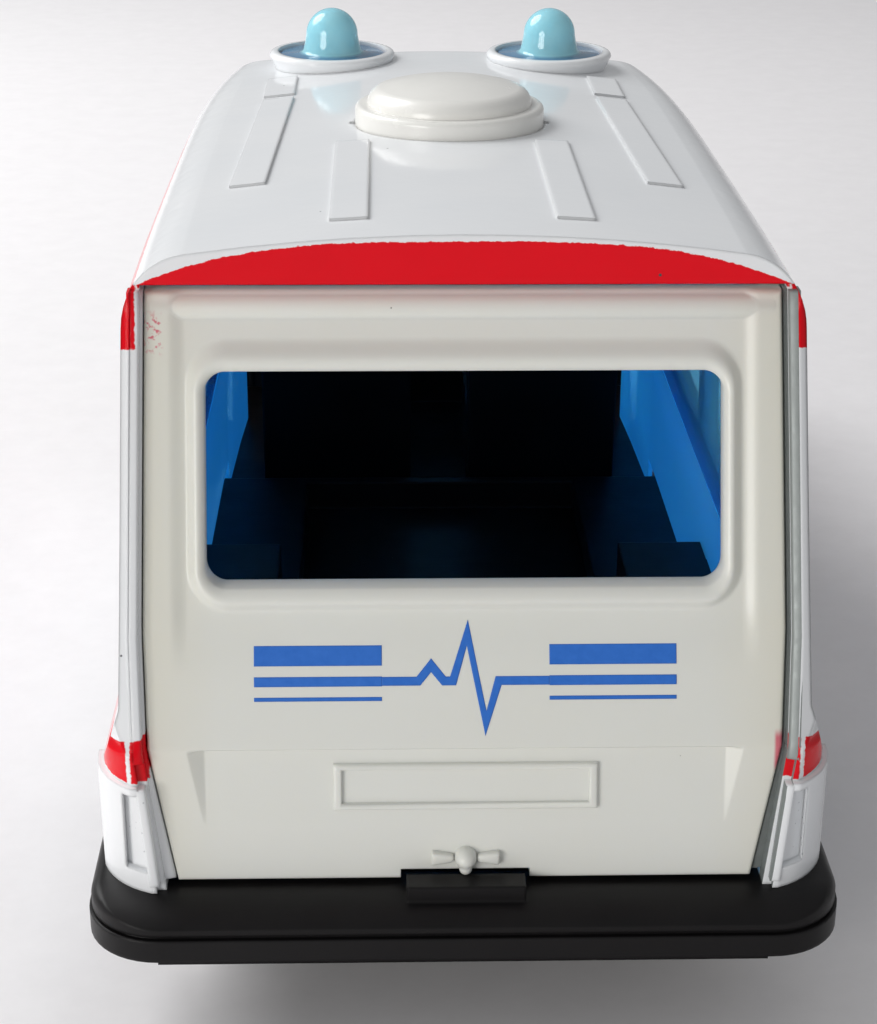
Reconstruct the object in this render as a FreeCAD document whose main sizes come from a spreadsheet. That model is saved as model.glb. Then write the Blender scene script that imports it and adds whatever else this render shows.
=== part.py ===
# A die-cast toy ambulance: an estate car with a raised roof and a tailgate that opens.
# The toy faces +Y, so that its tailgate looks towards -Y. Heights are taken from the ground
# and lengths from the rear face of the bumper, and every node is then moved back by half
# the overall length, which puts the origin under the middle of the toy.
import FreeCAD, Part
import math
import os

import Sketcher
from FreeCAD import Rotation, Vector

# Sizes in millimetres and degrees, one group for each piece or place
SIZES = {
    # the toy as a whole
    "length_overall": 115.0,
    "overrun": 3.0,
    "fit_gap": 0.1,
    "wall": 1.0,
    "rear_wall": 3.4,
    "tolerance": 0.001,
    # the body's cross-section: half widths, and the heights that they belong to
    "sill_height": 6.0,
    "flare_height": 16.5,
    "flare_half": 20.2,
    "belt_height": 20.5,
    "roof_corner_radius": 3.9,
    "crown_angle": 8.0,
    # the body's silhouette from the side: distances from the rear, and heights
    "corner_foot_height": 10.05,
    "roof_brow_radius": 26.0,
    "cowl_height": 24.5,
    "bonnet_front_height": 19.0,
    "nose_height": 14.5,
    "plan_corner_radius": 4.5,
    "plan_nose_radius": 6.0,
    # wheels and axles
    "wheel_radius": 7.4,
    "tyre_width": 4.2,
    "tyre_shoulder": 0.9,
    "tread_groove": 0.35,
    "tread_depth": 0.3,
    "hub_radius": 4.6,
    "hub_width": 3.6,
    "hub_lip": 0.5,
    "hub_dish": 0.9,
    "hub_cap_radius": 1.3,
    "hub_boss_radius": 1.9,
    "hub_hole_radius": 0.5,
    "hub_hole_ring": 2.6,
    "axle_radius": 0.75,
    "axle_gap": 0.08,
    "arch_radius": 8.5,
    # tailgate: the slanted line of its outer face, its outline and its relief
    "gate_foot_height": 10.3,
    "gate_belt_height": 18.0,
    "gate_waist_height": 24.0,
    "gate_top_height": 41.4,
    "gate_thickness": 1.2,
    "gate_gap": 0.25,
    "gate_rebate": 0.5,
    "gate_seat_gap": 0.2,
    "jamb_lap": 1.0,
    "gate_rebate_step": 0.45,
    "field_depth": 0.3,
    "field_fade_height": 21.5,
    "field_corner_radius": 2.2,
    "window_low": 26.3,
    "window_corner_radius": 1.15,
    "lip_width": 0.95,
    "lip_rise": 0.3,
    "lip_round": 0.25,
    "panel_low": 13.8,
    "panel_depth": 0.35,
    "plate_half": 7.25,
    "plate_low": 14.5,
    "plate_high": 17.0,
    "plate_bar": 0.42,
    "plate_rise": 0.3,
    "handle_half": 1.86,
    "handle_low": 11.25,
    "handle_high": 12.05,
    "handle_rise": 0.45,
    "handle_knob_radius": 0.62,
    "handle_knob_rise": 0.9,
    # the pin and barrel that the tailgate turns on
    "pin_radius": 0.4,
    "pin_gap": 0.05,
    "barrel_radius": 0.95,
    "hinge_setback": 0.6,
    # black base with both bumpers
    "base_low": 4.6,
    "base_thickness": 1.4,
    "pad_low": 4.2,
    "pad_half": 12.0,
    "wheel_bay_radius": 8.3,
    "bumper_low": 7.25,
    "bumper_groove_low": 8.6,
    "bumper_groove_high": 8.8,
    "bumper_high": 10.05,
    "bumper_step": 0.15,
    "bumper_groove": 0.35,
    "bumper_corner_radius": 4.2,
    "bumper_top_round": 0.6,
    "bumper_slope_drop": 0.9,
    "bumper_slope_at": 3.2,
    "bumper_arm_gap": 0.5,
    "front_bumper_drop": 0.4,
    "tab_half": 3.3,
    "tab_depth": 1.4,
    "tab_high": 10.8,
    "tab_low": 9.0,
    "tab_gap": 0.3,
    "ear_width": 1.4,
    "ear_depth": 3.6,
    # rivets and the body's bosses that they hold
    "boss_radius": 1.4,
    "boss_low": 6.1,
    "rivet_radius": 0.7,
    "rivet_head_radius": 1.4,
    "rivet_head_height": 0.45,
    "rivet_reach": 9.2,
    # black inside: floor, wheel boxes, benches, seats and dashboard
    "floor_low": 9.8,
    "floor_thickness": 0.8,
    "box_high": 17.5,
    "box_wall": 0.8,
    "bench_high": 12.8,
    "seat_gap_half": 2.3,
    "seat_back_thickness": 3.0,
    "seat_cushion_high": 16.0,
    "seat_back_high": 29.0,
    "seat_rake": 2.0,
    "seat_round": 0.9,
    "dash_high": 21.5,
    "dash_slope": 1.6,
    # steering wheel
    "steering_radius": 2.1,
    "steering_rim": 0.32,
    "steering_column_radius": 0.45,
    "steering_height": 20.6,
    "steering_angle": 62.0,
    # windows and glazing
    "glass_thickness": 0.8,
    "glass_low": 21.8,
    "pane_low": 23.6,
    "pane_round": 1.3,
    "post_width": 2.2,
    "screen_low": 26.0,
    "screen_lap": 1.2,
    # roof: ribs, vent and beacons
    "rib_rise": 0.16,
    "rib_width": 2.15,
    "inner_rib_middle": 6.3,
    "outer_rib_lean": 0.8,
    "vent_ring_radius": 6.2,
    "vent_ring_round": 0.35,
    "vent_dome_radius": 5.4,
    "vent_shoulder": 1.1,
    "vent_notch": 0.35,
    "vent_stem_radius": 1.6,
    "beacon_half": 8.15,
    "beacon_ring_radius": 4.7,
    "beacon_ring_bore": 4.05,
    "beacon_ring_foot_radius": 4.2,
    "beacon_ring_round": 0.35,
    "beacon_flange_radius": 3.9,
    "beacon_dome_radius": 2.0,
    "beacon_dome_foot_radius": 2.3,
    "beacon_stem_radius": 1.5,
    # lamps, grille and the relief cast in the body's sides and corners
    "bezel_rise": 0.35,
    "bezel_high": 16.4,
    "lens_low": 11.3,
    "lens_high": 15.95,
    "lens_sink": 0.1,
    "door_line": 0.3,
    "door_line_depth": 0.2,
    "door_line_low": 8.0,
    "lamp_low": 12.6,
    "lamp_high": 17.2,
    "lamp_thickness": 1.6,
    "grille_bar": 0.5,
    "grille_bar_rise": 0.25,
}

# Places along the toy, from the rear, as shares of its overall length
PLACE_SHARES = {
    "corner_foot_at": 0.022609,
    "pillar_foot_at": 0.030435,
    "roof_lip_at": 0.109565,
    "roof_tail_at": 0.112174,
    "roof_brow_at": 0.521739,
    "header_at": 0.617391,
    "cowl_at": 0.756522,
    "bonnet_front_at": 0.934783,
    "nose_at": 0.97913,
    "chin_at": 0.975652,
    "rear_axle_at": 0.182609,
    "front_axle_at": 0.808696,
    "gate_foot_at": 0.029565,
    "gate_belt_at": 0.038261,
    "gate_top_at": 0.116087,
    "base_rear_at": 0.031304,
    "base_front_at": 0.965217,
    "pad_rear_at": 0.278261,
    "pad_front_at": 0.713043,
    "rear_boss_at": 0.321739,
    "front_boss_at": 0.669565,
    "tub_rear_at": 0.050435,
    "tub_wide_at": 0.073043,
    "tub_front_at": 0.765217,
    "box_front_at": 0.291304,
    "box_rear_at": 0.074783,
    "bench_front_at": 0.486957,
    "seat_rear_at": 0.530435,
    "seat_front_at": 0.634783,
    "dash_rear_at": 0.7,
    "dash_front_at": 0.747826,
    "steering_at": 0.683478,
    "glass_rear_at": 0.146087,
    "glass_front_at": 0.608696,
    "quarter_front_at": 0.691304,
    "pane_rear_at": 0.169565,
    "rear_pillar_at": 0.326087,
    "door_pillar_at": 0.473913,
    "pane_front_low_at": 0.686957,
    "pane_front_high_at": 0.604348,
    "inner_rib_rear_at": 0.142609,
    "inner_rib_front_at": 0.306087,
    "outer_rib_rear_at": 0.226087,
    "outer_rib_front_at": 0.435652,
    "short_rib_rear_at": 0.445217,
    "short_rib_front_at": 0.5,
    "vent_at": 0.355652,
    "beacon_at": 0.543478,
    "bezel_depth_at": 0.065217,
    "lamp_depth_at": 0.895652,
}

# Heights of the roof and of what it carries, above the tailgate's top or below it
ROOF_RISES = {
    "roof_edge_height": -1.6,
    "roof_clear_height": 6.1,
    "roof_lip_height": 0.6,
    "header_height": -2.4,
    "hinge_height": -1.1,
    "window_high": -4.05,
    "glass_high": -2.0,
    "pane_high": -3.8,
    "screen_high": -3.8,
    "vent_ring_high": 4.45,
    "vent_seat_height": 2.95,
    "vent_dome_high": 6.15,
    "vent_stem_low": 1.6,
    "beacon_ring_high": 3.85,
    "beacon_ring_low": 0.2,
    "beacon_ring_foot_high": 2.5,
    "beacon_seat_height": 3.1,
    "beacon_flange_high": 3.65,
    "beacon_dome_high": 6.95,
    "beacon_stem_low": 1.2,
}

# Half widths of what follows the body's widest line, each set in from it
WIDTH_INSETS = {
    "sill_half": 0.4,
    "belt_half": 1.25,
    "roof_edge_half": 1.6,
    "gate_foot_half": 4.25,
    "gate_belt_half": 2.8,
    "gate_waist_half": 2.6,
    "gate_top_half": 2.85,
    "field_half": 4.2,
    "window_half": 6.0,
    "panel_half": 5.0,
    "pin_reach": 2.0,
    "barrel_half": 3.1,
    "base_half": 2.8,
    "wheel_bay_half": 7.0,
    "bumper_half": -0.9,
    "bumper_inner_half": 1.9,
    "rear_track_half": 4.2,
    "front_track_half": 3.6,
    "boss_half": 3.3,
    "tub_half": 2.9,
    "tub_rear_half": 6.2,
    "box_inner_half": 8.8,
    "wheel_well_half": 7.0,
    "quarter_inner_half": 6.3,
    "screen_half": 7.3,
    "bezel_inner_half": 3.9,
    "bezel_outer_half": -0.8,
    "lens_inner_half": 2.8,
    "lens_outer_half": 1.4,
    "lamp_inner_half": 10.0,
    "lamp_outer_half": 3.0,
    "grille_half": 10.8,
    "bench_inner_half": 9.8,
    "seat_half": 6.2,
    "outer_rib_middle": 7.75,
    "ear_half": 10.7,
    "steering_offset": 13.0,
}

# Widths of the body along its length: share of the overall length, then the shares of the
# lower, belt and roof half widths that the body has there
BODY_WIDTH_SHARES = (
    (-0.03, 1.0, 1.0, 0.995),
    (0.12, 1.0, 1.0, 1.0),
    (0.30, 1.0, 1.0, 1.0),
    (0.46, 1.0, 1.0, 0.985),
    (0.57, 1.0, 1.0, 0.93),
    (0.66, 1.0, 0.99, 0.83),
    (0.80, 0.995, 0.965, 0.75),
    (0.92, 0.96, 0.92, 0.70),
    (1.03, 0.88, 0.86, 0.66),
)
GRILLE_BARS = 3
HUB_HOLES = 8

DOC = FreeCAD.newDocument("toy_ambulance")
NODES = []


class Size:
    """A value with the formula that keeps it bound to the sheet."""

    def __init__(self, value, text):
        self.value = value
        self.text = text

    def __add__(self, other):
        other = sized(other)
        return Size(self.value + other.value, f"({self.text} + {other.text})")

    def __sub__(self, other):
        other = sized(other)
        return Size(self.value - other.value, f"({self.text} - {other.text})")

    def __mul__(self, other):
        other = sized(other)
        return Size(self.value * other.value, f"({self.text} * {other.text})")

    def __truediv__(self, other):
        other = sized(other)
        return Size(self.value / other.value, f"({self.text} / {other.text})")

    def __neg__(self):
        return Size(-self.value, f"(0 - {self.text})")

    __rmul__ = __mul__
    __radd__ = __add__


def sized(thing):
    if isinstance(thing, Size):
        return thing
    return Size(float(thing), repr(float(thing)))


def sine(angle):
    return Size(math.sin(math.radians(angle.value)), f"sin({angle.text})")


def cosine(angle):
    return Size(math.cos(math.radians(angle.value)), f"cos({angle.text})")


class Sheet:
    """The spreadsheet of sizes, each read by its name."""

    def __init__(self):
        self.table = DOC.addObject("Spreadsheet::Sheet", "Sizes")
        self.row = 0
        for name, value in SIZES.items():
            setattr(self, name, self.enter(name, value))
        for name, share in PLACE_SHARES.items():
            setattr(self, name, self.length_overall * self.enter(name + "_share", share))
        for name, rise in ROOF_RISES.items():
            setattr(self, name, self.gate_top_height + self.enter(name + "_rise", rise))
        for name, inset in WIDTH_INSETS.items():
            setattr(self, name, self.flare_half - self.enter(name + "_inset", inset))
        DOC.recompute()

    def enter(self, name, value):
        self.row += 1
        self.table.set(f"A{self.row}", name)
        self.table.set(f"B{self.row}", repr(value))
        self.table.setAlias(f"B{self.row}", name)
        return Size(value, f"Sizes.{name}")


s = Sheet()
REAR_TO_MIDDLE = s.length_overall / 2
BUMPER_ARM = s.rear_axle_at - s.wheel_bay_radius - s.bumper_arm_gap
HINGE_AT = s.gate_top_at + s.hinge_setback
BASE_HIGH = s.base_low + s.base_thickness
FLOOR_HIGH = s.floor_low + s.floor_thickness


def bind(thing, **sizes):
    for name, size in sizes.items():
        thing.setExpression(name, sized(size).text)
    return thing


def put(thing, x=0, y=0, z=0):
    for axis, size in (("x", x), ("y", y), ("z", z)):
        thing.setExpression(f"Placement.Base.{axis}", sized(size).text)
    return thing


def node(label, thing, x=0, y=0, z=0):
    """Names a finished piece and moves it from the rear's frame to the toy's."""
    thing.Label = label
    put(thing, x, sized(y) - REAR_TO_MIDDLE, z)
    NODES.append(thing)
    return thing


# Sketches, prisms, turned pieces and booleans
def arc_between(start, end, radius):
    """The shorter arc from start to end that turns left, or right for a negative radius."""
    chord = end - start
    left = Vector(-chord.y, chord.x, 0).normalize()
    height = math.sqrt(max(radius**2 - (chord.Length / 2) ** 2, 0))
    centre = (start + end) / 2 + left * math.copysign(height, radius)
    first, last = (start, end) if radius > 0 else (end, start)
    angles = [math.atan2(p.y - centre.y, p.x - centre.x) for p in (first, last)]
    circle = Part.Circle(centre, Vector(0, 0, 1), abs(radius))
    return Part.ArcOfCircle(circle, angles[0], angles[1])


def draw(sketch, loops):
    """Draws closed loops of points (across, up) or (across, up, radius of the edge ahead)."""
    for loop in loops:
        corners = [(sized(p[0]), sized(p[1])) for p in loop]
        spots = [Vector(u.value, v.value, 0) for u, v in corners]
        edges = []
        for k, point in enumerate(loop):
            start, end = spots[k], spots[(k + 1) % len(loop)]
            if len(point) == 3:
                radius = sized(point[2])
                edge = sketch.addGeometry(arc_between(start, end, radius.value), False)
                ends = (1, 2) if radius.value > 0 else (2, 1)
                limit = sketch.addConstraint(Sketcher.Constraint("Radius", edge, abs(radius.value)))
                size = radius if radius.value > 0 else -radius
                sketch.setExpression(f"Constraints[{limit}]", size.text)
            else:
                edge = sketch.addGeometry(Part.LineSegment(start, end), False)
                ends = (1, 2)
            edges.append((edge, *ends))
        for k, (edge, begin, finish) in enumerate(edges):
            ahead, ahead_begin, _ = edges[(k + 1) % len(edges)]
            sketch.addConstraint(Sketcher.Constraint("Coincident", edge, finish, ahead, ahead_begin))
            for kind, size in zip(("DistanceX", "DistanceY"), corners[k]):
                pin = sketch.addConstraint(Sketcher.Constraint(kind, edge, begin, size.value))
                sketch.setExpression(f"Constraints[{pin}]", size.text)


def draw_circle(sketch, across, up, radius):
    across, up, radius = sized(across), sized(up), sized(radius)
    circle = Part.Circle(Vector(across.value, up.value, 0), Vector(0, 0, 1), radius.value)
    edge = sketch.addGeometry(circle, False)
    pins = (("DistanceX", 3, across), ("DistanceY", 3, up))
    for kind, point, size in pins:
        pin = sketch.addConstraint(Sketcher.Constraint(kind, edge, point, size.value))
        sketch.setExpression(f"Constraints[{pin}]", size.text)
    limit = sketch.addConstraint(Sketcher.Constraint("Radius", edge, radius.value))
    sketch.setExpression(f"Constraints[{limit}]", radius.text)


PLANES = {"front": "XZ_Plane", "side": "YZ_Plane", "plan": "XY_Plane"}


def sketch_on(body, view, place=0):
    """A sketch that looks at the toy from the front, side or top, at a place on that axis."""
    sketch = body.newObject("Sketcher::SketchObject", body.Name + "_sketch")
    plane = next(f for f in body.Origin.OriginFeatures if f.Role == PLANES[view])
    sketch.AttachmentSupport = [(plane, "")]
    sketch.MapMode = "FlatFace"
    offset = -sized(place) if view == "front" else sized(place)
    sketch.setExpression("AttachmentOffset.Base.z", offset.text)
    return sketch


def new_body(name):
    return DOC.addObject("PartDesign::Body", name)


def pad(body, sketch, length):
    feature = body.newObject("PartDesign::Pad", sketch.Name + "_pad")
    feature.Profile = sketch
    bind(feature, Length=length)
    return feature


def prism(name, view, loops, low, high):
    """A straight block of the drawn outline, from low to high along the view's axis."""
    body = new_body(name)
    sketch = sketch_on(body, view, high if view == "front" else low)
    draw(sketch, loops)
    pad(body, sketch, sized(high) - low)
    return body


def turned(name, loop):
    """A piece turned about the X axis, from half of its section (along, radius)."""
    body = new_body(name)
    sketch = sketch_on(body, "plan")
    draw(sketch, [loop])
    feature = body.newObject("PartDesign::Revolution", name + "_turn")
    feature.Profile = sketch
    feature.ReferenceAxis = (sketch, ["H_Axis"])
    feature.Angle = 360
    return body


def spun(name, loop):
    """A piece turned about the Z axis, from half of its section (radius, height)."""
    body = new_body(name)
    sketch = sketch_on(body, "front")
    draw(sketch, [loop])
    feature = body.newObject("PartDesign::Revolution", name + "_turn")
    feature.Profile = sketch
    feature.ReferenceAxis = (sketch, ["V_Axis"])
    feature.Angle = 360
    return body


def box(low_across, high_across, low_up, high_up):
    return [
        (low_across, low_up),
        (high_across, low_up),
        (high_across, high_up),
        (low_across, high_up),
    ]


def rounded_box(low_across, high_across, low_up, high_up, radius):
    left, right, low, high = (sized(v) for v in (low_across, high_across, low_up, high_up))
    return [
        (left + radius, low),
        (right - radius, low, radius),
        (right, low + radius),
        (right, high - radius, radius),
        (right - radius, high),
        (left + radius, high, radius),
        (left, high - radius),
        (left, low + radius, radius),
    ]


def block(name, x_low, x_high, y_low, y_high, z_low, z_high):
    thing = DOC.addObject("Part::Box", name)
    bind(thing, Length=sized(x_high) - x_low, Width=sized(y_high) - y_low, Height=sized(z_high) - z_low)
    return put(thing, x_low, y_low, z_low)


def rod(name, radius, start, end, across=0, ahead=0, up=0, along="z"):
    """A round bar from start to end along one axis, at a place on the other two."""
    thing = DOC.addObject("Part::Cylinder", name)
    bind(thing, Radius=radius, Height=sized(end) - start)
    if along == "x":
        thing.Placement.Rotation = Rotation(Vector(0, 1, 0), 90)
        return put(thing, start, ahead, up)
    if along == "y":
        thing.Placement.Rotation = Rotation(Vector(1, 0, 0), -90)
        return put(thing, across, start, up)
    return put(thing, across, ahead, start)


def cut(name, base, tool):
    thing = DOC.addObject("Part::Cut", name)
    thing.Base = base
    thing.Tool = tool
    return thing


def fuse(name, shapes):
    thing = DOC.addObject("Part::MultiFuse", name)
    thing.Shapes = shapes
    thing.Refine = True
    return thing


def common(name, base, tool):
    thing = DOC.addObject("Part::Common", name)
    thing.Base = base
    thing.Tool = tool
    return thing


def low_high(first, second):
    return (first, second) if sized(first).value < sized(second).value else (second, first)


def round_edges(body, radius, chosen):
    """Rounds the chosen edges of a body's last feature."""
    DOC.recompute()
    base = body.Tip
    names = [f"Edge{k}" for k, e in enumerate(base.Shape.Edges, 1) if chosen(e)]
    feature = body.newObject("PartDesign::Fillet", body.Name + "_round")
    feature.Base = (base, names)
    bind(feature, Radius=radius)
    return feature


def runs_along(axis):
    """Whether an edge is straight and runs along the axis."""

    def chosen(edge):
        if edge.Curve.TypeId != "Part::GeomLine":
            return False
        return abs(abs(edge.Curve.Direction.dot(axis)) - 1) < s.tolerance.value

    return chosen


X_AXIS, Z_AXIS = Vector(1, 0, 0), Vector(0, 0, 1)


# The body's outer form, and the same form a little smaller or larger
def body_section(body, shares, inset, foot):
    along_share, lower_share, belt_share, roof_share = shares
    sketch = sketch_on(body, "front", s.length_overall * along_share)
    corner = s.roof_corner_radius - inset
    middle = s.roof_edge_half * roof_share - s.roof_corner_radius
    crown_half = middle + corner * sine(s.crown_angle)
    crown_edge = s.roof_edge_height + corner * cosine(s.crown_angle)
    sill = s.sill_half * lower_share - inset
    flare = s.flare_half * lower_share - inset
    belt = s.belt_half * belt_share - inset
    edge = middle + corner
    draw(
        sketch,
        [
            [
                (-sill, foot),
                (sill, foot),
                (flare, s.flare_height),
                (belt, s.belt_height),
                (edge, s.roof_edge_height, corner),
                (crown_half, crown_edge, crown_half / sine(s.crown_angle)),
                (-crown_half, crown_edge, corner),
                (-edge, s.roof_edge_height),
                (-belt, s.belt_height),
                (-flare, s.flare_height),
            ]
        ],
    )
    return sketch


def side_silhouette(inset, foot, rear_inset):
    """The body seen from the side, with its rear, roof, windscreen and nose."""
    inset, rear_inset = sized(inset), sized(rear_inset)
    brow_height = s.roof_clear_height
    return [
        (s.corner_foot_at + rear_inset, foot),
        (s.chin_at - inset, foot),
        (s.nose_at - inset, s.nose_height),
        (s.bonnet_front_at - inset, s.bonnet_front_height - inset),
        (s.cowl_at - inset, s.cowl_height - inset),
        (s.header_at - inset, s.header_height - inset, s.roof_brow_radius),
        (s.roof_brow_at, brow_height - inset),
        (s.roof_tail_at + inset, brow_height - inset),
        (s.roof_lip_at + rear_inset, s.roof_lip_height),
        (s.pillar_foot_at + rear_inset, s.gate_belt_height),
    ]


def plan_outline(inset):
    """The body seen from above, with round corners at the rear and at the nose."""
    inset = sized(inset)
    rear, nose = s.plan_corner_radius - inset, s.plan_nose_radius - inset
    half = s.flare_half - inset
    tail, front = s.corner_foot_at + inset, s.nose_at - inset
    return [
        (-half + rear, tail),
        (half - rear, tail, rear),
        (half, tail + rear),
        (half, front - nose, nose),
        (half - nose, front),
        (-half + nose, front, nose),
        (-half, front - nose),
        (-half, tail + rear, rear),
    ]


def hull(name, inset, foot, rear_inset=None):
    """The body as one closed form, every face moved in by the inset."""
    inset = sized(inset)
    rear_inset = inset if rear_inset is None else rear_inset
    body = new_body(name + "_loft")
    sections = [body_section(body, shares, inset, foot) for shares in BODY_WIDTH_SHARES]
    loft = body.newObject("PartDesign::AdditiveLoft", name + "_skin")
    loft.Profile = sections[0]
    loft.Sections = sections[1:]
    reach = s.flare_half + s.overrun
    side = prism(name + "_side", "side", [side_silhouette(inset, foot, rear_inset)], -reach, reach)
    top = s.roof_clear_height + s.overrun
    plan = prism(name + "_plan", "plan", [plan_outline(inset)], -s.overrun * 2, top)
    return common(name, common(name + "_cut", body, side), plan)


# The tailgate's slanted line, moved out or in, for every piece that lies on it
def gate_line(name, rise, depth, low, high):
    """A slab that follows the tailgate's outer face, from rise above it to depth below."""
    rise, depth = sized(rise), sized(depth)
    reach = s.flare_half + s.overrun
    slope = (s.gate_top_at - s.gate_belt_at) / (s.gate_top_height - s.gate_belt_height)
    foot_slope = (s.gate_belt_at - s.gate_foot_at) / (s.gate_belt_height - s.gate_foot_height)
    low_at = s.gate_belt_at + (sized(low) - s.gate_belt_height) * foot_slope
    high_at = s.gate_belt_at + (sized(high) - s.gate_belt_height) * slope
    loop = [
        (low_at - rise, low),
        (low_at + depth, low),
        (s.gate_belt_at + depth, s.gate_belt_height),
        (high_at + depth, high),
        (high_at - rise, high),
        (s.gate_belt_at - rise, s.gate_belt_height),
    ]
    return prism(name, "side", [loop], -reach, reach)


def gate_outline(grow, low, high):
    """The tailgate seen from behind, wider by a gap."""
    grow = sized(grow)
    return [
        (-s.gate_foot_half - grow, low),
        (s.gate_foot_half + grow, low),
        (s.gate_belt_half + grow, s.gate_belt_height),
        (s.gate_waist_half + grow, s.gate_waist_height),
        (s.gate_top_half + grow, high),
        (-s.gate_top_half - grow, high),
        (-s.gate_waist_half - grow, s.gate_waist_height),
        (-s.gate_belt_half - grow, s.gate_belt_height),
    ]


GATE_DEEP = s.gate_top_at + s.overrun


def make_body_shell():
    outer = hull("outer_form", 0, s.sill_height)
    cavity = hull("cavity", s.wall, 0, s.rear_wall)
    raised = hull("raised_form", -s.bezel_rise, s.sill_height)
    ribs = common("ribs", hull("rib_form", -s.rib_rise, s.sill_height), rib_prisms())
    bezels = common("bezels", raised, bezel_prisms())
    seats = [beacon_ring(name, sign) for name, sign in (("ring_left", -1), ("ring_right", 1))]
    solid = fuse("solid_body", [outer, ribs, bezels, *seats])
    hollow = cut("hollow_body", solid, cavity)
    bossed = fuse("bossed_body", [hollow, *boss_posts()])
    openings = fuse(
        "body_openings",
        [
            gate_opening(),
            *side_panes(),
            screen_opening(),
            *wheel_arches(),
            rear_foot_cut(),
            *roof_holes(),
            *nose_openings(),
            *lens_sinks(),
            *door_lines(),
            hinge_bore(),
            *rivet_bores(),
        ],
    )
    return node("body_shell", cut("shell", bossed, openings))


def rib_prisms():
    """Raised bars on the roof: two inner, two outer that lean inwards and two short ones ahead of these."""
    ahead_middle = s.outer_rib_middle - s.outer_rib_lean
    rows = (
        ("inner", s.inner_rib_middle, s.inner_rib_middle, s.inner_rib_rear_at, s.inner_rib_front_at),
        ("outer", s.outer_rib_middle, ahead_middle, s.outer_rib_rear_at, s.outer_rib_front_at),
        ("short", ahead_middle, ahead_middle, s.short_rib_rear_at, s.short_rib_front_at),
    )
    half = s.rib_width / 2
    bars = []
    for name, rear_middle, front_middle, rear, front in rows:
        for side, sign in (("left", -1), ("right", 1)):
            loop = [
                (rear_middle * sign - half, rear),
                (rear_middle * sign + half, rear),
                (front_middle * sign + half, front),
                (front_middle * sign - half, front),
            ]
            bars.append(
                prism(f"{name}_rib_{side}", "plan", [loop], s.roof_edge_height, s.roof_clear_height)
            )
    return fuse("rib_bars", bars)


def bezel_prisms():
    """The raised fields at the rear's lower corners, where the lamps are cast."""
    prisms = []
    for side, sign in (("left", -1), ("right", 1)):
        low, high = low_high(s.bezel_inner_half * sign, s.bezel_outer_half * sign)
        prisms.append(
            block(f"bezel_{side}", low, high, 0, s.bezel_depth_at, s.corner_foot_height, s.bezel_high)
        )
    return fuse("bezel_fields", prisms)


def beacon_ring(name, sign):
    """A seat for a beacon: a narrow foot that widens to a rim with a rounded edge."""
    rim, bead, top = s.beacon_ring_radius, s.beacon_ring_round, s.beacon_ring_high
    loop = [
        (0, s.beacon_ring_low),
        (s.beacon_ring_foot_radius, s.beacon_ring_low),
        (s.beacon_ring_foot_radius, s.beacon_ring_foot_high),
        (rim, top - bead, bead),
        (rim - bead, top),
        (0, top),
    ]
    return put(spun(name, loop), s.beacon_half * sign, s.beacon_at, 0)


def boss_posts():
    posts = []
    for side, sign in (("left", -1), ("right", 1)):
        for place, y in (("rear", s.rear_boss_at), ("front", s.front_boss_at)):
            posts.append(
                rod(f"boss_{place}_{side}", s.boss_radius, s.boss_low, s.floor_low - s.fit_gap,
                    across=s.boss_half * sign, ahead=y)
            )
            low, high = low_high(s.boss_half * sign, (s.flare_half - s.wall / 2) * sign)
            posts.append(
                block(f"web_{place}_{side}", low, high, y - s.boss_radius, y + s.boss_radius,
                      s.boss_low, s.floor_low - s.fit_gap)
            )
    return posts


def gate_opening():
    """The hole that the tailgate closes: a step around its rear, its seat, and a narrower jamb."""
    low = s.corner_foot_height - s.overrun
    high = s.roof_lip_height
    through = prism("gate_through", "front", [gate_outline(s.gate_gap, low, high)], 0, GATE_DEEP)
    deep = gate_line("gate_deep", s.overrun, s.gate_thickness + s.gate_seat_gap, low, high)
    jamb_outline = gate_outline(-s.jamb_lap, low, high)
    jamb = prism("gate_jamb", "front", [jamb_outline], 0, GATE_DEEP + s.rear_wall)
    room_half = s.gate_top_half + s.gate_gap
    room = rod("barrel_room", s.barrel_radius + s.gate_gap * 2, -room_half, room_half,
               ahead=HINGE_AT, up=s.hinge_height, along="x")
    step = prism("gate_step", "front", [gate_outline(s.gate_rebate + s.gate_gap, low, high)], 0, GATE_DEEP)
    shallow = gate_line("gate_shallow", s.overrun, -s.gate_rebate_step, low, high)
    seat = common("gate_hole_deep", through, deep)
    rim = common("gate_hole_step", step, shallow)
    return fuse("gate_hole", [seat, rim, jamb, room])


def side_panes():
    """Three windows on each side, cut through both sides at once."""
    reach = s.flare_half + s.overrun
    lean = s.pane_front_low_at - s.pane_front_high_at
    front_low_at = s.pane_front_low_at - lean / 2
    rows = (
        ("rear", s.pane_rear_at, s.rear_pillar_at, s.rear_pillar_at),
        ("middle", s.rear_pillar_at + s.post_width, s.door_pillar_at, s.door_pillar_at),
        ("front", s.door_pillar_at + s.post_width, front_low_at, s.pane_front_high_at - s.post_width),
    )
    panes = []
    for name, rear, front_low, front_high in rows:
        low, high = s.pane_low, s.pane_high
        loop = [(rear, low), (front_low, low), (front_high, high), (rear, high)]
        pane = prism(f"pane_{name}", "side", [loop], -reach, reach)
        round_edges(pane, s.pane_round, runs_along(X_AXIS))
        panes.append(pane)
    return panes


def screen_opening():
    loop = rounded_box(-s.screen_half, s.screen_half, s.screen_low, s.screen_high, s.pane_round)
    return prism("screen_hole", "front", [loop], s.pane_front_high_at, s.cowl_at)


def wheel_arches():
    reach = s.flare_half + s.overrun
    return [
        rod(f"arch_{place}", s.arch_radius, -reach, reach, ahead=y, up=s.wheel_radius, along="x")
        for place, y in axle_places()
    ]


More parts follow.
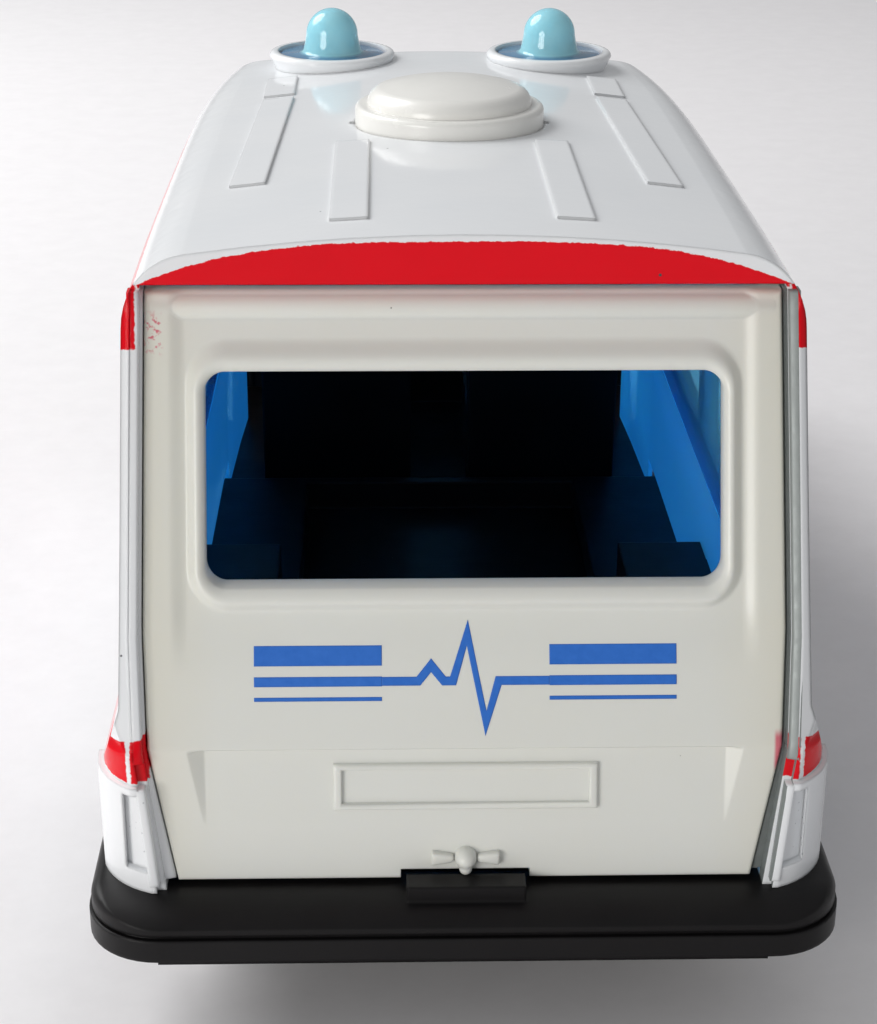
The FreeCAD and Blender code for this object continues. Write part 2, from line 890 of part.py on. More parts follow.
def rear_foot_cut():
    """The room that the bumpers' arms take under the body's ends."""
    reach = s.flare_half + s.overrun
    rear = block("rear_foot", -reach, reach, 0, BUMPER_ARM + s.fit_gap, 0, s.bumper_high)
    front_start = s.length_overall - BUMPER_ARM - s.fit_gap
    front_high = s.bumper_high - s.front_bumper_drop
    front = block("front_foot", -reach, reach, front_start, s.length_overall, 0, front_high)
    return fuse("foot_cuts", [rear, front])


def roof_holes():
    holes = []
    for side, sign in (("left", -1), ("right", 1)):
        x = s.beacon_half * sign
        top = s.beacon_ring_high + s.overrun
        holes.append(rod(f"ring_bore_{side}", s.beacon_ring_bore, s.beacon_seat_height, top,
                         across=x, ahead=s.beacon_at))
        holes.append(rod(f"beacon_bore_{side}", s.beacon_stem_radius + s.fit_gap, s.roof_edge_height, top,
                         across=x, ahead=s.beacon_at))
    top = s.vent_dome_high
    holes.append(rod("vent_recess", s.vent_ring_radius + s.fit_gap, s.vent_seat_height, top, ahead=s.vent_at))
    notch = s.vent_ring_radius + s.vent_notch
    holes.append(block("vent_notches", -notch, notch, s.vent_at - s.vent_notch, s.vent_at + s.vent_notch,
                       s.vent_seat_height, top))
    holes.append(rod("vent_bore", s.vent_stem_radius + s.fit_gap, s.roof_edge_height, top, ahead=s.vent_at))
    return holes


def lamp_block(name, sign, grow):
    low, high = low_high((s.lamp_inner_half - grow) * sign, (s.lamp_outer_half + grow) * sign)
    return block(name, low, high, s.lamp_depth_at, s.length_overall, s.lamp_low - grow, s.lamp_high + grow)


def grille_block(name, grow):
    half = s.grille_half + grow
    return block(name, -half, half, s.lamp_depth_at, s.length_overall, s.lamp_low - grow, s.lamp_high + grow)


def nose_openings():
    holes = [lamp_block(f"lamp_hole_{side}", sign, s.fit_gap) for side, sign in (("left", -1), ("right", 1))]
    return [*holes, grille_block("grille_hole", s.fit_gap)]


def lens_sinks():
    """The lamp fields, sunk a little under the frames around them."""
    sinks = []
    core = hull("lens_form", s.lens_sink, s.sill_height)
    for side, sign in (("left", -1), ("right", 1)):
        low, high = low_high(s.lens_inner_half * sign, s.lens_outer_half * sign)
        field = block(f"lens_field_{side}", low, high, 0, s.bezel_depth_at, s.lens_low, s.lens_high)
        sinks.append(cut(f"lens_sink_{side}", field, core))
    return sinks


def door_lines():
    """Shallow grooves around the doors on both sides."""
    reach = s.flare_half + s.overrun
    core = hull("door_form", s.door_line_depth, s.sill_height)
    half = s.post_width / 2
    places = (s.rear_pillar_at + half, s.door_pillar_at + half, s.pane_front_low_at)
    low, high = s.door_line_low, s.pane_low - s.overrun / 2
    lines = [
        block(f"door_line_{k}", -reach, reach, y, y + s.door_line, low, high)
        for k, y in enumerate(places)
    ]
    lines.append(
        block("door_line_foot", -reach, reach, s.rear_pillar_at + half, s.pane_front_low_at + s.door_line,
              s.door_line_low, s.door_line_low + s.door_line)
    )
    return [cut("door_grooves", fuse("door_line_bars", lines), core)]


def hinge_bore():
    half, radius = s.pin_reach + s.fit_gap, s.pin_radius + s.pin_gap
    return rod("hinge_bore", radius, -half, half, ahead=HINGE_AT, up=s.hinge_height, along="x")


def rivet_places():
    for side, sign in (("left", -1), ("right", 1)):
        for place, y in (("rear", s.rear_boss_at), ("front", s.front_boss_at)):
            yield f"{place}_{side}", s.boss_half * sign, y


def rivet_bores():
    radius = s.rivet_radius + s.pin_gap
    return [
        rod(f"rivet_bore_{name}", radius, 0, s.rivet_reach + s.fit_gap, across=x, ahead=y)
        for name, x, y in rivet_places()
    ]


def make_tailgate():
    low, high = s.gate_foot_height, s.gate_top_height
    outline = prism("gate_plan", "front", [gate_outline(0, low, high)], 0, GATE_DEEP)
    sheet = common("gate_sheet", outline, gate_line("gate_slab", 0, s.gate_thickness, low, high))
    pieces = [
        gate_lip(),
        gate_plate_frame(),
        *gate_handle(),
        rod("gate_barrel", s.barrel_radius, -s.barrel_half, s.barrel_half,
            ahead=HINGE_AT, up=s.hinge_height, along="x"),
    ]
    wide, radius = s.window_half, s.window_corner_radius
    window = rounded_box(-wide, wide, s.window_low, s.window_high, radius)
    half = s.pin_reach + s.overrun
    notch_half = s.tab_half + s.tab_gap
    removed = [
        prism("gate_window", "front", [window], 0, GATE_DEEP),
        rod("gate_pin_bore", s.pin_radius + s.pin_gap, -half, half,
            ahead=HINGE_AT, up=s.hinge_height, along="x"),
        block("gate_notch", -notch_half, notch_half, 0, GATE_DEEP, 0, s.tab_high + s.fit_gap),
    ]
    panelled = cut("gate_panelled", cut("gate_fielded", sheet, gate_field()), gate_panel_wedge())
    whole = fuse("gate_whole", [panelled, *pieces])
    return node("tailgate", cut("gate", whole, fuse("gate_removed", removed)))


def gate_panel_wedge():
    """The lower panel: a step under the belt that runs out to nothing further down."""
    reach = s.panel_half
    slope = (s.gate_belt_at - s.gate_foot_at) / (s.gate_belt_height - s.gate_foot_height)
    low_at = s.gate_belt_at + (s.panel_low - s.gate_belt_height) * slope
    loop = [
        (low_at, s.panel_low),
        (s.gate_belt_at + s.panel_depth, s.gate_belt_height - s.fit_gap),
        (s.gate_belt_at - s.overrun, s.gate_belt_height - s.fit_gap),
    ]
    return prism("gate_wedge", "side", [loop], -reach, reach)


def gate_field():
    """The sunken field around the window, whose depth fades out towards the belt."""
    slope = (s.gate_top_at - s.gate_belt_at) / (s.gate_top_height - s.gate_belt_height)
    low, high = s.field_fade_height, s.gate_top_height + s.overrun
    fade_at = s.gate_belt_at + (low - s.gate_belt_height) * slope
    full_at = s.gate_belt_at + (s.window_low - s.gate_belt_height) * slope
    top_at = s.gate_top_at + slope * s.overrun
    half = s.field_half
    loop = [
        (fade_at - s.overrun, low),
        (fade_at, low),
        (full_at + s.field_depth, s.window_low),
        (top_at + s.field_depth, high),
        (top_at - s.overrun, high),
    ]
    side = prism("field_side", "side", [loop], -half, half)
    radius = s.field_corner_radius
    outline = [
        (-half + radius, low),
        (half - radius, low, radius),
        (half, low + radius),
        (half, high),
        (-half, high),
        (-half, low + radius, radius),
    ]
    reach = GATE_DEEP + s.overrun
    return common("gate_field", side, prism("field_front", "front", [outline], -s.overrun, reach))


def gate_lip():
    """The rounded lip around the window."""
    wide = s.lip_width
    outer = rounded_box(
        -s.window_half - wide, s.window_half + wide, s.window_low - wide, s.window_high + wide,
        s.window_corner_radius + wide,
    )
    slope = (s.gate_top_at - s.gate_belt_at) / (s.gate_top_height - s.gate_belt_height)
    low, high = s.window_low - wide, s.window_high + wide
    low_at = s.gate_belt_at + (low - s.gate_belt_height) * slope
    high_at = s.gate_belt_at + (high - s.gate_belt_height) * slope
    body = new_body("gate_lip")
    sketch = sketch_on(body, "front", GATE_DEEP)
    draw(sketch, [outer])
    pad(body, sketch, GATE_DEEP)
    trim = sketch_on(body, "side", -s.flare_half)
    back, clear = s.gate_thickness / 2, s.overrun
    grown_low_at, grown_high_at = low_at - slope * clear, high_at + slope * clear
    keep = [
        (grown_low_at - s.lip_rise, low - clear),
        (grown_low_at + back, low - clear),
        (grown_high_at + back, high + clear),
        (grown_high_at - s.lip_rise, high + clear),
    ]
    around = box(-clear, GATE_DEEP + clear, low - clear * 2, high + clear * 2)
    draw(trim, [around, keep])
    pocket = body.newObject("PartDesign::Pocket", "gate_lip_trim")
    pocket.Profile = trim
    bind(pocket, Length=s.flare_half * 2)
    pocket.Reversed = True

    def depth_under_face(point):
        return point.y - (low_at.value - s.lip_rise.value) - slope.value * (point.z - low.value)

    def on_outer_face(edge):
        """Whether all of an edge lies on the lip's outer face."""
        return all(abs(depth_under_face(v.Point)) < s.tolerance.value for v in edge.Vertexes)

    round_edges(body, s.lip_round, on_outer_face)
    return body


def gate_plate_frame():
    """The raised frame of the number plate, whose field is bare."""
    bar = s.plate_bar
    outer = box(-s.plate_half, s.plate_half, s.plate_low, s.plate_high)
    inner = box(-s.plate_half + bar, s.plate_half - bar, s.plate_low + bar, s.plate_high - bar)
    ring = prism("plate_ring", "front", [outer, inner], 0, GATE_DEEP)
    low, high = s.gate_foot_height, s.gate_waist_height
    slab = gate_line("plate_slab", s.plate_rise, s.gate_thickness / 2, low, high)
    return common("plate_frame", ring, slab)


def gate_handle():
    low, high = s.handle_low, s.handle_high
    bar = prism("handle_front", "front", [box(-s.handle_half, s.handle_half, low, high)], 0, GATE_DEEP)
    depth = s.gate_thickness / 2
    slab = gate_line("handle_slab", s.handle_rise, depth, s.gate_foot_height, s.gate_waist_height)
    knob = rod("handle_knob", s.handle_knob_radius, s.gate_foot_at - s.handle_knob_rise,
               s.gate_foot_at + depth, up=(low + high) / 2, along="y")
    return [common("handle_bar", bar, slab), knob]


def make_tailgate_pin():
    pin = rod("pin", s.pin_radius, -s.pin_reach, s.pin_reach, along="x")
    return node("tailgate_pin", pin, x=-s.pin_reach, y=HINGE_AT, z=s.hinge_height)


def bumper_outline(grow):
    """The rear bumper from above, with round corners; the front one is its mirror."""
    grow = sized(grow)
    half, radius = s.bumper_half + grow, s.bumper_corner_radius + grow
    inner, rear = s.bumper_inner_half, s.base_rear_at + s.wall
    return [
        (-half + radius, -grow),
        (half - radius, -grow, radius),
        (half, -grow + radius),
        (half, BUMPER_ARM),
        (inner, BUMPER_ARM),
        (inner, rear),
        (-inner, rear),
        (-inner, BUMPER_ARM),
        (-half, BUMPER_ARM),
        (-half, -grow + radius, radius),
    ]


def bumper(name, drop):
    low, high = s.bumper_low - drop, s.bumper_high - drop
    groove_low, groove_high = s.bumper_groove_low - drop, s.bumper_groove_high - drop
    bands = [
        prism(name + "_low", "plan", [bumper_outline(0)], low, groove_low),
        prism(name + "_groove", "plan", [bumper_outline(-s.bumper_groove)], groove_low, groove_high),
    ]
    upper = prism(name + "_high", "plan", [bumper_outline(-s.bumper_step)], groove_high, high)
    rim = s.bumper_half.value - s.bumper_step.value
    arm, margin = BUMPER_ARM.value, s.fit_gap.value

    def outer_top(edge):
        """Whether an edge is on the bumper's outer rim, at its top."""
        middle = edge.CenterOfMass
        top = all(abs(v.Z - high.value) < s.tolerance.value for v in edge.Vertexes)
        sideways = abs(middle.x) > rim - s.bumper_corner_radius.value and middle.y < arm - margin
        behind = middle.y < s.bumper_step.value + margin
        outside = abs(middle.x) > s.bumper_inner_half.value + margin
        return top and (behind or (sideways and outside))

    round_edges(upper, s.bumper_top_round, outer_top)
    depth, drop = s.bumper_slope_at, s.bumper_slope_drop
    crown = (depth * depth + drop * drop) / (drop * 2)
    slope = [
        (-s.overrun, high + s.overrun),
        (-s.overrun, high - drop),
        (0, high - drop, -crown),
        (depth, high),
        (depth, high + s.overrun),
    ]
    reach = s.bumper_half + s.overrun
    sloped = prism(name + "_slope", "side", [slope], -reach, reach)
    return cut(name, fuse(name + "_bands", [*bands, upper]), sloped)


def make_chassis_base():
    rear = bumper("rear_bumper", sized(0))
    front = bumper("front_bumper", s.front_bumper_drop)
    front.Placement.Rotation = Rotation(Z_AXIS, 180)
    put(front, 0, s.length_overall, 0)
    half = s.base_half
    plate = block("base_plate", -half, half, s.base_rear_at, s.base_front_at, s.base_low, BASE_HIGH)
    tongue_half = half - s.overrun
    tongue_rear = block("tongue_rear", -tongue_half, tongue_half,
                        s.base_rear_at, s.base_rear_at + s.wall, s.base_low, s.bumper_groove_low)
    tongue_front = block("tongue_front", -tongue_half, tongue_half,
                         s.base_front_at - s.wall, s.base_front_at, s.base_low, s.bumper_groove_low)
    foot = block("base_pad", -s.pad_half, s.pad_half, s.pad_rear_at, s.pad_front_at, s.pad_low, s.base_low)
    solid = fuse("base_solid", [rear, front, plate, tongue_rear, tongue_front, foot, tab(), *axle_ears()])
    removed = [*wheel_bays(), *axle_bores(), *rivet_bores_in_base()]
    return node("chassis_base", cut("base", solid, fuse("base_removed", removed)))


def tab():
    """The small step in the middle of the rear bumper, which covers the tailgate's foot."""
    front = s.gate_foot_at - s.tab_gap
    rear = front - s.tab_depth
    return block("tab", -s.tab_half, s.tab_half, rear, front, s.tab_low, s.tab_high)


def axle_places():
    return (("rear", s.rear_axle_at), ("front", s.front_axle_at))


def axle_ears():
    """Upright ears on the base, two to each axle, which the floor also rests on."""
    ears = []
    for place, y in axle_places():
        for side, sign in (("left", -1), ("right", 1)):
            low, high = low_high(s.ear_half * sign, (s.ear_half + s.ear_width) * sign)
            ears.append(block(f"ear_{place}_{side}", low, high, y - s.ear_depth / 2, y + s.ear_depth / 2,
                              s.base_low, s.floor_low))
    return ears


def wheel_bays():
    bays = []
    for place, y in axle_places():
        for side, sign in (("left", -1), ("right", 1)):
            low, high = low_high(s.wheel_bay_half * sign, (s.base_half + s.overrun) * sign)
            if place == "rear":
                near, far = BUMPER_ARM, y + s.wheel_bay_radius
            else:
                near, far = y - s.wheel_bay_radius, s.length_overall - BUMPER_ARM
            bays.append(block(f"bay_{place}_{side}", low, high, near, far, 0, s.bumper_high + s.overrun))
    return bays


def axle_bores():
    half, radius = s.base_half, s.axle_radius + s.axle_gap
    return [
        rod(f"axle_bore_{place}", radius, -half, half, ahead=y, up=s.wheel_radius, along="x")
        for place, y in axle_places()
    ]


def rivet_bores_in_base():
    radius = s.rivet_radius + s.pin_gap
    return [
        rod(f"base_bore_{name}", radius, 0, BASE_HIGH + s.overrun, across=x, ahead=y)
        for name, x, y in rivet_places()
    ]


def make_base_rivets():
    """Four rivets, each a head under the base and a shank in the body's boss."""
    parts = []
    for name, x, y in rivet_places():
        head_low = s.base_low - s.rivet_head_height
        head = rod(f"rivet_head_{name}", s.rivet_head_radius, head_low, s.base_low, across=x, ahead=y)
        shank = rod(f"rivet_shank_{name}", s.rivet_radius, head_low, s.rivet_reach, across=x, ahead=y)
        parts.append(fuse(f"rivet_{name}", [head, shank]))
    group = DOC.addObject("Part::Compound", "rivets")
    group.Links = parts
    return node("base_rivets", group)


def make_interior_tub():
    half = s.tub_half
    floor = block("floor", -half, half, s.tub_wide_at, s.tub_front_at, s.floor_low, FLOOR_HIGH)
    sill = block("floor_sill", -s.tub_rear_half, s.tub_rear_half, s.tub_rear_at, s.tub_wide_at,
                 s.floor_low, FLOOR_HIGH)
    pieces = [floor, sill]
    for side, sign in (("left", -1), ("right", 1)):
        low, high = low_high(s.box_inner_half * sign, s.tub_half * sign)
        pieces.append(
            block(f"wheel_box_{side}", low, high, s.box_rear_at, s.box_front_at, s.floor_low, s.box_high)
        )
        low, high = low_high(s.bench_inner_half * sign, s.tub_half * sign)
        pieces.append(
            block(f"bench_{side}", low, high, s.box_front_at, s.bench_front_at, s.floor_low, s.bench_high)
        )
        pieces.append(seat(f"seat_{side}", sign))
    step_front = s.bench_front_at + s.wall
    step = block("bulkhead", -half, half, s.bench_front_at, step_front, s.floor_low, s.bench_high)
    solid = fuse("tub_solid", [*pieces, step, dashboard()])
    return node("interior_tub", cut("tub", solid, fuse("tub_removed", wheel_hollows() + [column_bore()])))


def wheel_hollows():
    """The room for the wheels under the boxes and under the front of the floor."""
    rooms = []
    wall = s.box_wall
    for side, sign in (("left", -1), ("right", 1)):
        low, high = low_high((s.box_inner_half + wall) * sign, (s.tub_half + s.overrun) * sign)
        rooms.append(block(f"rear_room_{side}", low, high, s.box_rear_at + wall, s.box_front_at - wall,
                           0, s.box_high - wall))
        low, high = low_high(s.wheel_well_half * sign, (s.tub_half + s.overrun) * sign)
        near, far = s.front_axle_at - s.wheel_bay_radius, s.tub_front_at + s.overrun
        rooms.append(block(f"front_room_{side}", low, high, near, far, 0, s.floor_low + s.overrun))
    return rooms


def seat(name, sign):
    """A front seat: cushion and raked back, seen from the side, with rounded edges."""
    low, high = low_high(s.seat_gap_half * sign, s.seat_half * sign)
    back_top = s.seat_rear_at - s.seat_rake
    loop = [
        (s.seat_rear_at, s.floor_low),
        (s.seat_front_at, s.floor_low),
        (s.seat_front_at, s.seat_cushion_high),
        (s.seat_rear_at + s.seat_back_thickness, s.seat_cushion_high),
        (back_top + s.seat_back_thickness, s.seat_back_high),
        (back_top, s.seat_back_high),
    ]
    body = prism(name, "side", [loop], low, high)

    def upper(edge):
        return edge.CenterOfMass.z > s.seat_back_high.value - s.tolerance.value

    round_edges(body, s.seat_round, upper)
    return body


def dashboard():
    loop = [
        (s.dash_rear_at, s.floor_low),
        (s.dash_front_at, s.floor_low),
        (s.dash_front_at, s.dash_high),
        (s.dash_rear_at + s.dash_slope, s.dash_high),
        (s.dash_rear_at, s.dash_high - s.dash_slope * 2),
    ]
    return prism("dashboard", "side", [loop], -s.wheel_well_half, s.wheel_well_half)


def column_bore():
    radius, length = s.steering_column_radius + s.pin_gap, s.steering_radius * 2 + s.fit_gap
    return steering_rod("column_bore", radius, length)


def steering_rod(name, radius, length):
    """A round bar along the steering column, from the wheel's middle towards the dashboard."""
    thing = DOC.addObject("Part::Cylinder", name)
    bind(thing, Radius=radius, Height=length)
    thing.setExpression("Placement.Rotation.Angle", f"-{s.steering_angle.text} - 90")
    thing.Placement.Rotation.Axis = X_AXIS
    return put(thing, -s.steering_offset, s.steering_at, s.steering_height)


def make_steering_wheel():
    rim = DOC.addObject("Part::Torus", "steering_rim")
    bind(rim, Radius1=s.steering_radius, Radius2=s.steering_rim)
    rim.setExpression("Placement.Rotation.Angle", f"-{s.steering_angle.text} - 90")
    rim.Placement.Rotation.Axis = X_AXIS
    put(rim, -s.steering_offset, s.steering_at, s.steering_height)
    left, right = -s.steering_offset - s.steering_radius, -s.steering_offset + s.steering_radius
    spoke = rod("steering_spoke", s.steering_rim, left, right,
                ahead=s.steering_at, up=s.steering_height, along="x")
    column = steering_rod("steering_column", s.steering_column_radius, s.steering_radius * 2)
    return node("steering_wheel", fuse("steering", [rim, spoke, column]))


def make_glazing():
    near = s.wall + s.fit_gap
    outside = hull("glass_near", near, 0, s.rear_wall)
    inside = hull("glass_far", near + s.glass_thickness, -s.overrun, s.rear_wall)

    def pane(name, region):
        return cut(name, common(name + "_block", outside, region), inside)

    for side, sign in (("left", -1), ("right", 1)):
        low, high = low_high(s.box_inner_half * sign, (s.flare_half + s.overrun) * sign)
        main = block(f"glass_room_{side}", low, high, s.glass_rear_at, s.glass_front_at,
                     s.glass_low, s.glass_high)
        low, high = low_high(s.quarter_inner_half * sign, (s.flare_half + s.overrun) * sign)
        quarter = block(f"quarter_room_{side}", low, high, s.glass_front_at, s.quarter_front_at,
                        s.glass_low, s.glass_high)
        region = fuse(f"glass_region_{side}", [main, quarter])
        node(f"side_glass_{side}", pane(f"glass_{side}", region))
    half = s.screen_half + s.screen_lap / 2
    region = block("screen_room", -half, half, s.glass_front_at + s.glass_thickness, s.cowl_at,
                   s.screen_low - s.screen_lap, s.screen_high + s.screen_lap / 2)
    return node("windscreen", pane("screen", region))


def make_roof_vent():
    ring, dome, bend = s.vent_ring_radius, s.vent_dome_radius, s.vent_shoulder
    rise = s.vent_dome_high - s.vent_ring_high
    reach = dome - bend
    crown = (reach * reach + rise * rise - bend * bend) / ((rise - bend) * 2)
    share = crown / (crown - bend)
    loop = [
        (0, s.vent_stem_low),
        (s.vent_stem_radius, s.vent_stem_low),
        (s.vent_stem_radius, s.vent_seat_height),
        (ring, s.vent_seat_height),
        (ring, s.vent_ring_high - s.vent_ring_round, s.vent_ring_round),
        (ring - s.vent_ring_round, s.vent_ring_high),
        (dome, s.vent_ring_high, bend),
        (reach * share, s.vent_dome_high - crown + (crown - rise) * share, crown),
        (0, s.vent_dome_high),
    ]
    return node("roof_vent", spun("vent", loop), y=s.vent_at)


def make_beacons():
    foot, dome = s.beacon_dome_foot_radius, s.beacon_dome_radius
    shoulder = s.beacon_dome_high - dome
    for side, sign in (("left", -1), ("right", 1)):
        loop = [
            (0, s.beacon_stem_low),
            (s.beacon_stem_radius, s.beacon_stem_low),
            (s.beacon_stem_radius, s.beacon_seat_height),
            (s.beacon_flange_radius, s.beacon_seat_height),
            (s.beacon_flange_radius, s.beacon_flange_high),
            (foot, s.beacon_flange_high),
            (dome, shoulder, dome),
            (0, s.beacon_dome_high),
        ]
        node(f"beacon_{side}", spun(f"dome_{side}", loop), x=s.beacon_half * sign, y=s.beacon_at)


def make_nose():
    """Headlamps and grille, which follow the nose's face in their openings."""
    face = hull("nose_face", 0, s.sill_height)
    back = hull("nose_back", s.lamp_thickness, 0)
    skin = cut("nose_skin", face, back)
    for side, sign in (("left", -1), ("right", 1)):
        node(f"headlamp_{side}", common(f"lamp_{side}", skin, lamp_block(f"lamp_block_{side}", sign, 0)))
    pitch = (s.lamp_high - s.lamp_low) / (GRILLE_BARS + 1)
    half = s.grille_half + s.overrun
    slots = [
        block(f"grille_slot_{k}", -half, half, s.lamp_depth_at, s.length_overall,
              s.lamp_low + pitch * k + s.grille_bar / 2, s.lamp_low + pitch * (k + 1) - s.grille_bar / 2)
        for k in range(GRILLE_BARS + 1)
    ]
    inner = hull("grille_form", s.grille_bar_rise, s.sill_height)
    plate = common("grille_plate", skin, grille_block("grille_room", 0))
    grooves = cut("grille_grooves", fuse("grille_slots", slots), inner)
    return node("grille", cut("grille_bars", plate, grooves))


def wheel_hub(name):
    """A hub with a lip, a dished face, a cap and a blind bore for the axle."""
    half = s.hub_width / 2
    bore = s.axle_radius
    dish = half - s.hub_dish
    loop = [
        (dish - s.hub_lip, 0),
        (half, 0),
        (half, s.hub_cap_radius),
        (dish, s.hub_boss_radius),
        (dish, s.hub_radius - s.hub_lip * 2),
        (half, s.hub_radius - s.hub_lip),
        (half, s.hub_radius),
        (-half, s.hub_radius),
        (-half, s.hub_radius - s.hub_lip),
        (dish - s.hub_dish, s.hub_radius - s.hub_lip * 2),
        (dish - s.hub_dish, s.hub_boss_radius),
        (-half, s.hub_boss_radius),
        (-half, bore),
        (dish - s.hub_lip, bore),
    ]
    body = turned(name, loop)
    sketch = sketch_on(body, "side", half)
    draw_circle(sketch, s.hub_hole_ring, 0, s.hub_hole_radius)
    pocket = body.newObject("PartDesign::Pocket", name + "_hole")
    pocket.Profile = sketch
    bind(pocket, Length=s.hub_width)
    holes = body.newObject("PartDesign::PolarPattern", name + "_holes")
    holes.Originals = [pocket]
    holes.Axis = (sketch, ["N_Axis"])
    holes.Angle = 360
    holes.Occurrences = HUB_HOLES
    body.Tip = holes
    return body


def tyre(name):
    """A tyre with round shoulders and two grooves around its tread."""
    half, outer, inner = s.tyre_width / 2, s.wheel_radius, s.hub_radius
    shoulder, groove, depth = s.tyre_shoulder, s.tread_groove, s.tread_depth
    groove_far = groove + groove / 2
    loop = [
        (-half, inner),
        (half, inner),
        (half, outer - shoulder, shoulder),
        (half - shoulder, outer),
        (groove_far, outer),
        (groove_far, outer - depth),
        (groove / 2, outer - depth),
        (groove / 2, outer),
        (-groove / 2, outer),
        (-groove / 2, outer - depth),
        (-groove_far, outer - depth),
        (-groove_far, outer),
        (-half + shoulder, outer, shoulder),
        (-half, outer - shoulder),
    ]
    return turned(name, loop)


def make_wheels():
    """Both wheel sets: an axle, and a hub and a tyre at each of its ends."""
    rows = (("rear", s.rear_axle_at, s.rear_track_half), ("front", s.front_axle_at, s.front_track_half))
    for place, y, track in rows:
        end = track + s.hub_width / 2 - s.hub_dish - s.hub_lip
        axle = rod(f"{place}_bar", s.axle_radius, -end, end, along="x")
        node(f"{place}_axle", axle, x=-end, y=y, z=s.wheel_radius)
        for side, sign in (("left", -1), ("right", 1)):
            for kind, make in (("hub", wheel_hub), ("tyre", tyre)):
                piece = make(f"{kind}_{place}_{side}_form")
                if sign < 0:
                    piece.Placement.Rotation = Rotation(Z_AXIS, 180)
                node(f"{place}_{kind}_{side}", piece, x=track * sign, y=y, z=s.wheel_radius)


def check_and_export():
    DOC.recompute()
    failed = [o.Name for o in DOC.Objects if {"Invalid", "Error"} & set(o.State)]
    if failed:
        raise RuntimeError(f"failed: {failed}")
    os.makedirs("parts", exist_ok=True)
    for piece in NODES:
        shape = piece.Shape
        if shape.isNull() or not shape.isValid() or not shape.Solids:
            raise RuntimeError(f"bad shape: {piece.Label}")
        shape.exportStep(f"parts/{piece.Label}.step")
        print(piece.Label, len(shape.Solids), round(shape.Volume, 2), shape.BoundBox)


make_body_shell()
make_tailgate()
make_tailgate_pin()
make_chassis_base()
make_base_rivets()
make_interior_tub()
make_steering_wheel()
make_glazing()
make_roof_vent()
make_beacons()
make_nose()
make_wheels()
check_and_export()
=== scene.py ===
# %% [markdown]
# # A die-cast toy ambulance
# The real toy is about 115 mm long: a cast metal body under white lacquer with red bands, a
# cream plastic tailgate, a black plastic base, blue clear glazing and two blue beacons.
# Its solids already stand in the frame, in metres. This lesson dresses them: each finish is a
# material made of nodes, and the pieces that need softer forms are modelled anew.

# %% Load the frame
import bmesh
import bpy
import math
from mathutils import Matrix, Vector


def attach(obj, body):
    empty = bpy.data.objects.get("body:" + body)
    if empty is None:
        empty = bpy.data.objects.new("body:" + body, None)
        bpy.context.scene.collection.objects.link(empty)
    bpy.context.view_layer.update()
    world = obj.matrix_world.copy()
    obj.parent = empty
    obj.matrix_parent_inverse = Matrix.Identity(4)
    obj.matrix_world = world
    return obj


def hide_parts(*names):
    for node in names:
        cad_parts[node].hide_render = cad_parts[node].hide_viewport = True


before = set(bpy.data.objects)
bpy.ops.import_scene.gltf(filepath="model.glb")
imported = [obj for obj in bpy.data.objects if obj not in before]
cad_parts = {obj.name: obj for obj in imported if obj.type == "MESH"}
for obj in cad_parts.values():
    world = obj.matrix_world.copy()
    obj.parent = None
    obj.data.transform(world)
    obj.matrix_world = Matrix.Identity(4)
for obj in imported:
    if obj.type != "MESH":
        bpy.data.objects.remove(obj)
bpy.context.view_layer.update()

# %% [markdown]
# ## Colours and nodes
# Colours are written as sRGB hex values, as a paint chart gives them. Shaders add and multiply
# light, so they need linear values, and one function turns the first into the second.
# A second function adds any node with its settings and links. Materials then read as a list
# of what feeds what, which is easier to follow than a picture of wires.

# %% Colours and nodes
MM = 0.001


def linear(code):
    """An sRGB hex colour as the linear colour that a shader reads."""
    parts = [int(code[k:k + 2], 16) / 255 for k in (1, 3, 5)]
    return (*[p / 12.92 if p <= 0.04045 else ((p + 0.055) / 1.055) ** 2.4 for p in parts], 1)


def add(material, kind, sockets=None, **settings):
    """Adds a node: its settings, then its sockets, each given a value or the output that feeds it."""
    tree = material.node_tree
    node = tree.nodes.new("ShaderNode" + kind)
    for name, value in settings.items():
        setattr(node, name, value)
    for name, value in (sockets or {}).items():
        if isinstance(value, bpy.types.NodeSocket):
            tree.links.new(value, node.inputs[name])
        else:
            node.inputs[name].default_value = value
    return node


# %% [markdown]
# ## A material's beginning
# Every finish starts alike: a Principled shader, and the place of each point on the toy in
# millimetres. Object coordinates stay with the piece when it turns, and a Mapping node scales
# them, so that a pattern's scale is its number of repeats in a millimetre.

# %% A material's beginning
def start_material(name, **sockets):
    """A new material, its shader with the plain values given, and the place in millimetres."""
    material = bpy.data.materials.new(name)
    material.use_nodes = True
    material.node_tree.nodes.clear()
    output = add(material, "OutputMaterial")
    shader = add(material, "BsdfPrincipled", {key.replace("_", " "): v for key, v in sockets.items()})
    material.node_tree.links.new(shader.outputs[0], output.inputs["Surface"])
    where = add(material, "TexCoord").outputs["Object"]
    place = add(material, "Mapping", {"Vector": where, "Scale": (1 / MM, 1 / MM, 1 / MM)}).outputs[0]
    return material, shader, place


def feed(material, shader, **sources):
    """Links node outputs to the shader's sockets."""
    for name, source in sources.items():
        material.node_tree.links.new(source, shader.inputs[name.replace("_", " ")])


# %% [markdown]
# ## Masks
# A mask is a number from 0 to 1 that says where a colour lies. A painted band lies between two
# heights, so its mask is one step up times one step down. Dust and pits are small dots at
# random places: a Voronoi texture gives each cell one point, and the dots are what lies close
# to it. The cell's own random colour decides how large its dot is, or that it has none.

